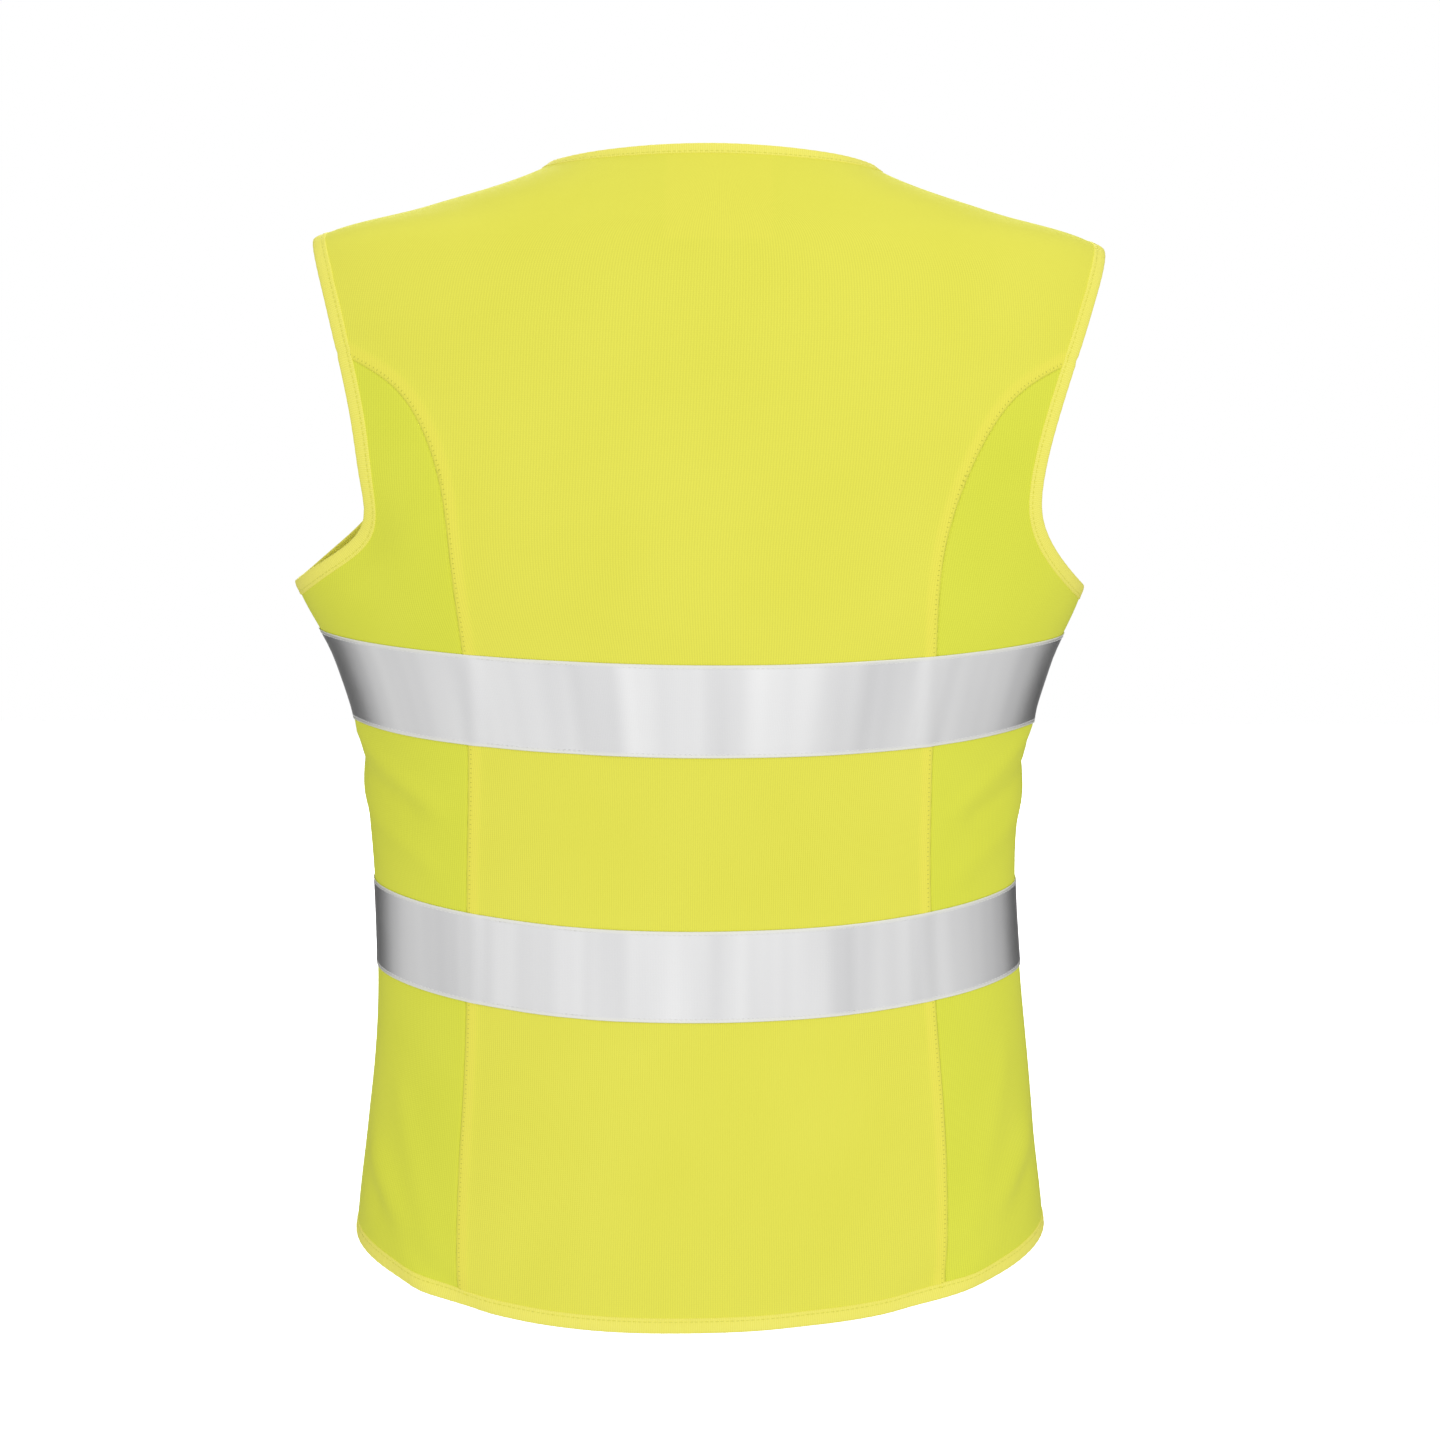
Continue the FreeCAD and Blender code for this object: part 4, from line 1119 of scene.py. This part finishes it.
# The rows of points down a tape, closer at its edges, as shares of its width.
TAPE_ROWS = np.array([0, 0.6, 2.2, 3.4, 8, 14, 20, 26, 32, 38, 43, 46.6, 47.8, 49.4, 50]) / TAPE_WIDTH
TAPE_UNDER, TAPE_TOP = 1.0, 1.42
# The stitching beside each edge: how far in, the groove it draws and half its width, how far from
# the tape's ends it stops, and the spacing of its line.
TAPE_STITCH_IN, TAPE_GROOVE, GROOVE_HALF = 1.9, 0.06, 0.9
TAPE_STITCH_END, TAPE_LINE_STEP = 0.5, 2
# The tape's own cloth shows at its cut edge: not at all this far in, and wholly this far.
CUT_EDGE = (1.3, 0.2)
# Where a tape was bent in the packet: s of each soft crease, its depth and half its width.
CREASES = [(72, 0.5, 6.0), (50, -0.3, 9.0), (-89, 0.5, 2.6), (-140, 0.4, 7.0), (112, 0.3, 9.0)]
CREASE_LIMIT = 0.3
# A tape is raised over a seam's doubled allowance: how far from the seam the middle of the rise is,
# its height, and how far from that middle it is nothing and whole.
STRIP_MIDDLE, STRIP_RISE, STRIP_HALF = 4.2, 0.45, (5.0, 3.0)


def tape_place(which, s, share):
    """(s, w) of a place on a tape, share of the way down it."""
    tape = TAPES[which]
    across = round_share(s)
    middle = np.where(np.abs(s) <= SIDE_SEAM, tape[BACK], tape[FRONT])
    level = middle + (tape["side"] - middle) * across**2 - TAPE_WIDTH * share
    return np.stack([s, down(level)], -1)


def round_share(s):
    """How far across the body a place round it lies, from 0 at the middle to 1 at the side."""
    flat = np.stack([s, np.full_like(s, down(TAPES["upper"]["side"]))], -1)
    return np.abs(on_form(flat)[0][..., 0]) / half_width(TAPES["upper"]["side"])


def over_strips(points):
    """How far a tape is raised where it crosses the doubled allowance of a seam."""
    middles = []
    for seam, turn in ((BACK_SEAM, 1), (FRONT_SEAM, -1)):
        middle = beside(seam, turn * STRIP_MIDDLE)
        middles += [middle, flipped(middle)]
    return STRIP_RISE * smoothstep(*STRIP_HALF, seam_distance(points, middles))


def tape(name, which, first, last, nodes):
    """One run of tape between two places round the body. Returns its stitching."""
    length = last - first
    s, share = np.meshgrid(np.linspace(first, last, round(length / TAPE_STEP) + 1), TAPE_ROWS)
    places = tape_place(which, s, share)
    points, quads = net(places[..., 0], places[..., 1])
    from_edge = np.minimum(share, 1 - share).ravel() * TAPE_WIDTH
    lift = TAPE_TOP - TAPE_GROOVE * np.exp(-(((from_edge - TAPE_STITCH_IN) / GROOVE_HALF) ** 2))
    for where, depth, width in CREASES:
        lift = lift - depth * np.exp(-(((points[:, 0] - where) / width) ** 2))
    lift = np.maximum(lift, TAPE_TOP - CREASE_LIMIT) + over_strips(points)
    cut_edge = smoothstep(*CUT_EDGE, from_edge)
    piece = cloth(name, points, quads, lift, TAPE_UNDER, silver, {"cut_edge": cut_edge})
    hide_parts(*nodes)
    ends = first + TAPE_STITCH_END, last - TAPE_STITCH_END
    along = np.linspace(*ends, round(length / TAPE_LINE_STEP))
    stitching = []
    for share in (TAPE_STITCH_IN / TAPE_WIDTH, 1 - TAPE_STITCH_IN / TAPE_WIDTH):
        line = tape_place(which, along, np.full_like(along, share))
        stitching.append(stitches_along(line, TAPE_TOP - TAPE_GROOVE))
    return stitching


TAPE_STITCHING = {"root": [], LEFT: [], RIGHT: []}
tape_end = float(place(PANEL_EDGE, TAPES["upper"][FRONT], FRONT)[0])
for which in TAPES:
    back = f"{which}_tape_back"
    TAPE_STITCHING["root"] += tape(f"{back}_cloth", which, -SIDE_SEAM, SIDE_SEAM, [back])
    for side, label in NAME_OF.items():
        ends = sorted((side * SIDE_SEAM, side * tape_end))
        nodes = [f"{label}_{which}_tape_{part}" for part in ("front", "side")]
        TAPE_STITCHING[side] += tape(f"{nodes[0]}_cloth", which, *ends, nodes)

# ---------------------------------------------------------------- thread

for owner in ("root", LEFT, RIGHT):
    tag = "back" if owner == "root" else f"{NAME_OF[owner]}_front"
    sewn(f"{tag}_binding_stitches", BINDING_STITCHING[owner], yellow_thread)
    sewn(f"{tag}_tape_stitches", TAPE_STITCHING[owner], grey_thread)
LADDER_LINES = {"back": beside(BACK_SEAM, LADDER_IN), "front": beside(FRONT_SEAM, -LADDER_IN)}
for side, label in NAME_OF.items():
    for seam, line in LADDER_LINES.items():
        stitching = [stitches_across(on_side(line, side))]
        sewn(f"{label}_{seam}_seam_stitches", stitching, dimple_shade_thread)

# ---------------------------------------------------------------- zip and labels

# The zip tape's section: share of the way out from its corded edge, and share of the cord's height.
ZIP_SECTION = [
    (0, 0.35), (0.12, 0.5), (0.24, 0.45), (0.4, 0.1), (0.6, 0.0), (0.8, 0.06), (0.94, 0.0),
    (1.0, -0.05),
]
# The zip tape's two lifts, its cord's height, and its rows of points.
ZIP_TOP, ZIP_UNDER, ZIP_CORD, ZIP_ROWS = -0.25, -0.85, 0.5, 160
# The neck label's two lifts and its bow, and the care label's size and half its thickness.
NECK_LABEL_TOP, NECK_LABEL_UNDER, NECK_LABEL_BOW = -0.3, -0.55, 2.0
CARE_LABEL_SIZE, CARE_LABEL_HALF = (28, 60), 0.15
# How far the care label curls towards its foot, and ripples.
CURL, RIPPLE = 2.2, 0.5
# Columns and rows of points on each label.
NECK_LABEL_NET, CARE_LABEL_NET = (41, 31), (25, 31)


def share_net(columns, rows):
    """Shares of the way across and down a label, for every point of its net."""
    return np.meshgrid(np.linspace(0, 1, columns), np.linspace(0, 1, rows))


def zip_tape(side):
    """The woven tape beside the teeth, with a thick corded edge, where the CAD has it."""
    label = NAME_OF[side]
    low, high = box_mm(f"{label}_zip_tape")
    inner, outer = sorted((abs(low[0]), abs(high[0])))
    share, cord = np.array(ZIP_SECTION).T
    z = np.linspace(high[2], low[2], ZIP_ROWS)
    grid_x, grid_z = np.meshgrid(share * (outer - inner) + inner, z)
    places = place(side * grid_x, grid_z, FRONT)
    points, quads = net(places[..., 0], places[..., 1])
    lift = ZIP_TOP + ZIP_CORD * np.tile(cord, ZIP_ROWS)
    piece = cloth(f"{label}_zip_tape_cloth", points, quads, lift, ZIP_UNDER, zip_woven)
    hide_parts(f"{label}_zip_tape")


def neck_label():
    """A blank satin label inside the back of the neck, a little bowed off the cloth."""
    low, high = box_mm("neck_label")
    u, v = share_net(*NECK_LABEL_NET)
    places = place(low[0] + u * (high[0] - low[0]), high[2] + v * (low[2] - high[2]), BACK)
    points, quads = net(places[..., 0], places[..., 1])
    bow = NECK_LABEL_BOW * np.sin(math.pi * u.ravel()) * v.ravel() ** 2
    piece = cloth(
        "neck_label_satin", points, quads, NECK_LABEL_TOP - bow, NECK_LABEL_UNDER - bow, label_satin
    )
    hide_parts("neck_label")


def care_label():
    """A blank satin label caught in the left side seam, hanging inside and curling a little."""
    low, high = box_mm("care_label")
    start = np.array([high[0], low[1], 0])
    end = np.array([low[0], high[1], 0])
    u, v = share_net(*CARE_LABEL_NET)
    base = start + u[..., None] * (end - start)
    base[..., 2] = high[2] + v * (low[2] - high[2])
    base[..., 0] -= aside(base[..., 0], base[..., 2])
    across = np.array([start[1] - end[1], end[0] - start[0], 0])
    across /= np.linalg.norm(across)
    curl = CURL * np.sin(2.6 * u) * v**1.5 + RIPPLE * np.sin(5 * v + 2 * u)
    middle = base + across * curl[..., None]
    half = across * CARE_LABEL_HALF
    skins = [(middle + half).reshape(-1, 3), (middle - half).reshape(-1, 3)]
    _, quads = net(u, v)
    skin, faces = two_sided(*skins, quads)
    uv = np.stack([u.ravel(), v.ravel()], -1) * CARE_LABEL_SIZE
    piece = make_mesh("care_label_satin", skin, faces, label_satin, np.vstack([uv, uv]))
    face_outwards(piece)
    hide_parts("care_label")


for side in (LEFT, RIGHT):
    zip_tape(side)
neck_label()
care_label()

CAD_FINISHES = {
    zip_plastic: ("left_zip_teeth", "right_zip_teeth", "left_top_stop", "right_top_stop",
                  "retainer_box", "insertion_pin"),
    zip_metal: ("zip_slider", "pull_tab"),
}
for finish, nodes in CAD_FINISHES.items():
    for node in nodes:
        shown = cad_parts[node]
        shown.data.materials.clear()
        shown.data.materials.append(finish)

# ---------------------------------------------------------------- what each piece rides on

for name, piece in PIECES.items():
    side = LEFT if name.startswith("left") else RIGHT
    if "zip_tape" in name:
        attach(piece, BODY_OF[side])
    elif "front" in name:
        front_blend(piece)
    else:
        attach(piece, "root")

# ---------------------------------------------------------------- floor, light and camera


def lamp(name, where, size, power):
    """A soft lamp, aimed at the vest's middle."""
    light = bpy.data.lights.new(name, "AREA")
    light.shape = "RECTANGLE"
    light.size, light.size_y = size
    light.energy = power
    holder = bpy.data.objects.new(name, light)
    bpy.context.scene.collection.objects.link(holder)
    holder.location = where
    towards = Vector(VEST_MIDDLE) - Vector(where)
    holder.rotation_euler = towards.to_track_quat("-Z", "Y").to_euler()


def pale_floor(level):
    """A pale floor that doesn't shine on the vest."""
    steps = np.linspace(-FLOOR_REACH, FLOOR_REACH, FLOOR_CELLS + 1)
    x, y = np.meshgrid(steps, steps)
    _, quads = net(x, y)
    z = np.full(x.size, level)
    points = np.stack([x.ravel(), y.ravel(), z], -1) / MM
    finish = Finish("pale_floor", 0.9)
    grain = finish.noise(finish.object_place(), 3.0)
    finish.colour(finish.mixed(grain, linear(250, 250, 249), linear(254, 254, 254)))
    finish.shader.inputs["Emission Color"].default_value = (1, 1, 1, 1)
    finish.shader.inputs["Emission Strength"].default_value = FLOOR_GLOW
    floor = make_mesh("floor", points, [tuple(reversed(q)) for q in quads], finish.material)
    floor.visible_glossy = floor.visible_diffuse = False
    del PIECES["floor"]


FLOOR_LEVEL, FLOOR_REACH, FLOOR_CELLS, FLOOR_GLOW = -0.9, 4.0, 24, 0.45
pale_floor(FLOOR_LEVEL)

scene = bpy.context.scene
scene.view_settings.view_transform = "Standard"


# The room's brightness by how squarely a direction faces the vest's back: place and brightness.
# The room is turned a little about the vest.
ROOM = [
    (0.0, 0.8), (0.03, 0.55), (0.07, 0.05), (0.2, 0.03), (0.31, 0.52), (0.42, 0.66),
    (0.62, 0.76), (0.85, 0.91), (0.97, 1.06), (1.0, 1.09),
]
ROOM_TURN = math.radians(3.0)


def studio(strengths):
    """A white room, brighter behind the vest than before it, that shows as a plain white."""
    world = bpy.data.worlds.new("studio")
    world.use_nodes = True
    tree = world.node_tree
    background = tree.nodes["Background"]
    direction = tree.nodes.new("ShaderNodeTexCoord")
    along = tree.nodes.new("ShaderNodeVectorMath")
    along.operation = "DOT_PRODUCT"
    along.inputs[1].default_value = (math.sin(ROOM_TURN), math.cos(ROOM_TURN), 0)
    spread = tree.nodes.new("ShaderNodeMapRange")
    spread.inputs["From Min"].default_value = -1.0
    curve = tree.nodes.new("ShaderNodeFloatCurve")
    points = curve.mapping.curves[0].points
    curve.mapping.clip_max_y = 2.0
    points[0].location = strengths[0]
    points[1].location = strengths[-1]
    for strength in strengths[1:-1]:
        points.new(*strength)
    curve.mapping.update()
    path = tree.nodes.new("ShaderNodeLightPath")
    choose = tree.nodes.new("ShaderNodeMix")
    choose.inputs[3].default_value = 1.0
    tree.links.new(direction.outputs["Generated"], along.inputs[0])
    tree.links.new(along.outputs["Value"], spread.inputs["Value"])
    tree.links.new(spread.outputs[0], curve.inputs["Value"])
    tree.links.new(path.outputs["Is Camera Ray"], choose.inputs[0])
    tree.links.new(curve.outputs[0], choose.inputs[2])
    tree.links.new(choose.outputs[0], background.inputs["Strength"])
    background.inputs["Color"].default_value = (1, 1, 1, 1)
    scene.world = world


studio(ROOM)
VEST_MIDDLE = (0, 0, -0.3)
lamp("key", (-1.3, 1.9, 1.2), (1.0, 1.0), 8)
lamp("front_fill", (0.0, -3.2, 0.9), (1.6, 1.6), 88)
lamp("top", (0.2, -0.9, 2.3), (1.4, 1.4), 14)

CAMERA_YAW, CAMERA_PITCH, CAMERA_ROLL = (math.radians(angle) for angle in (-3.0, 8.3, 0.6))
CAMERA_BACK, CAMERA_LEVEL, CAMERA_ASIDE = 1.3575, -0.1114, 0.0141
LENS, SENSOR = 60.0, 36.0
yaw = Matrix.Rotation(CAMERA_YAW, 3, "Z")
forward = yaw @ Vector((0, -math.cos(CAMERA_PITCH), -math.sin(CAMERA_PITCH)))
roll = Quaternion((0, 0, 1), CAMERA_ROLL)
camera = bpy.data.objects.new("camera", bpy.data.cameras.new("camera"))
camera.data.lens, camera.data.sensor_width = LENS, SENSOR
camera.location = yaw @ Vector((-CAMERA_ASIDE, CAMERA_BACK, CAMERA_LEVEL))
camera.rotation_euler = (forward.to_track_quat("-Z", "Y") @ roll).to_euler()
scene.collection.objects.link(camera)
scene.camera = camera
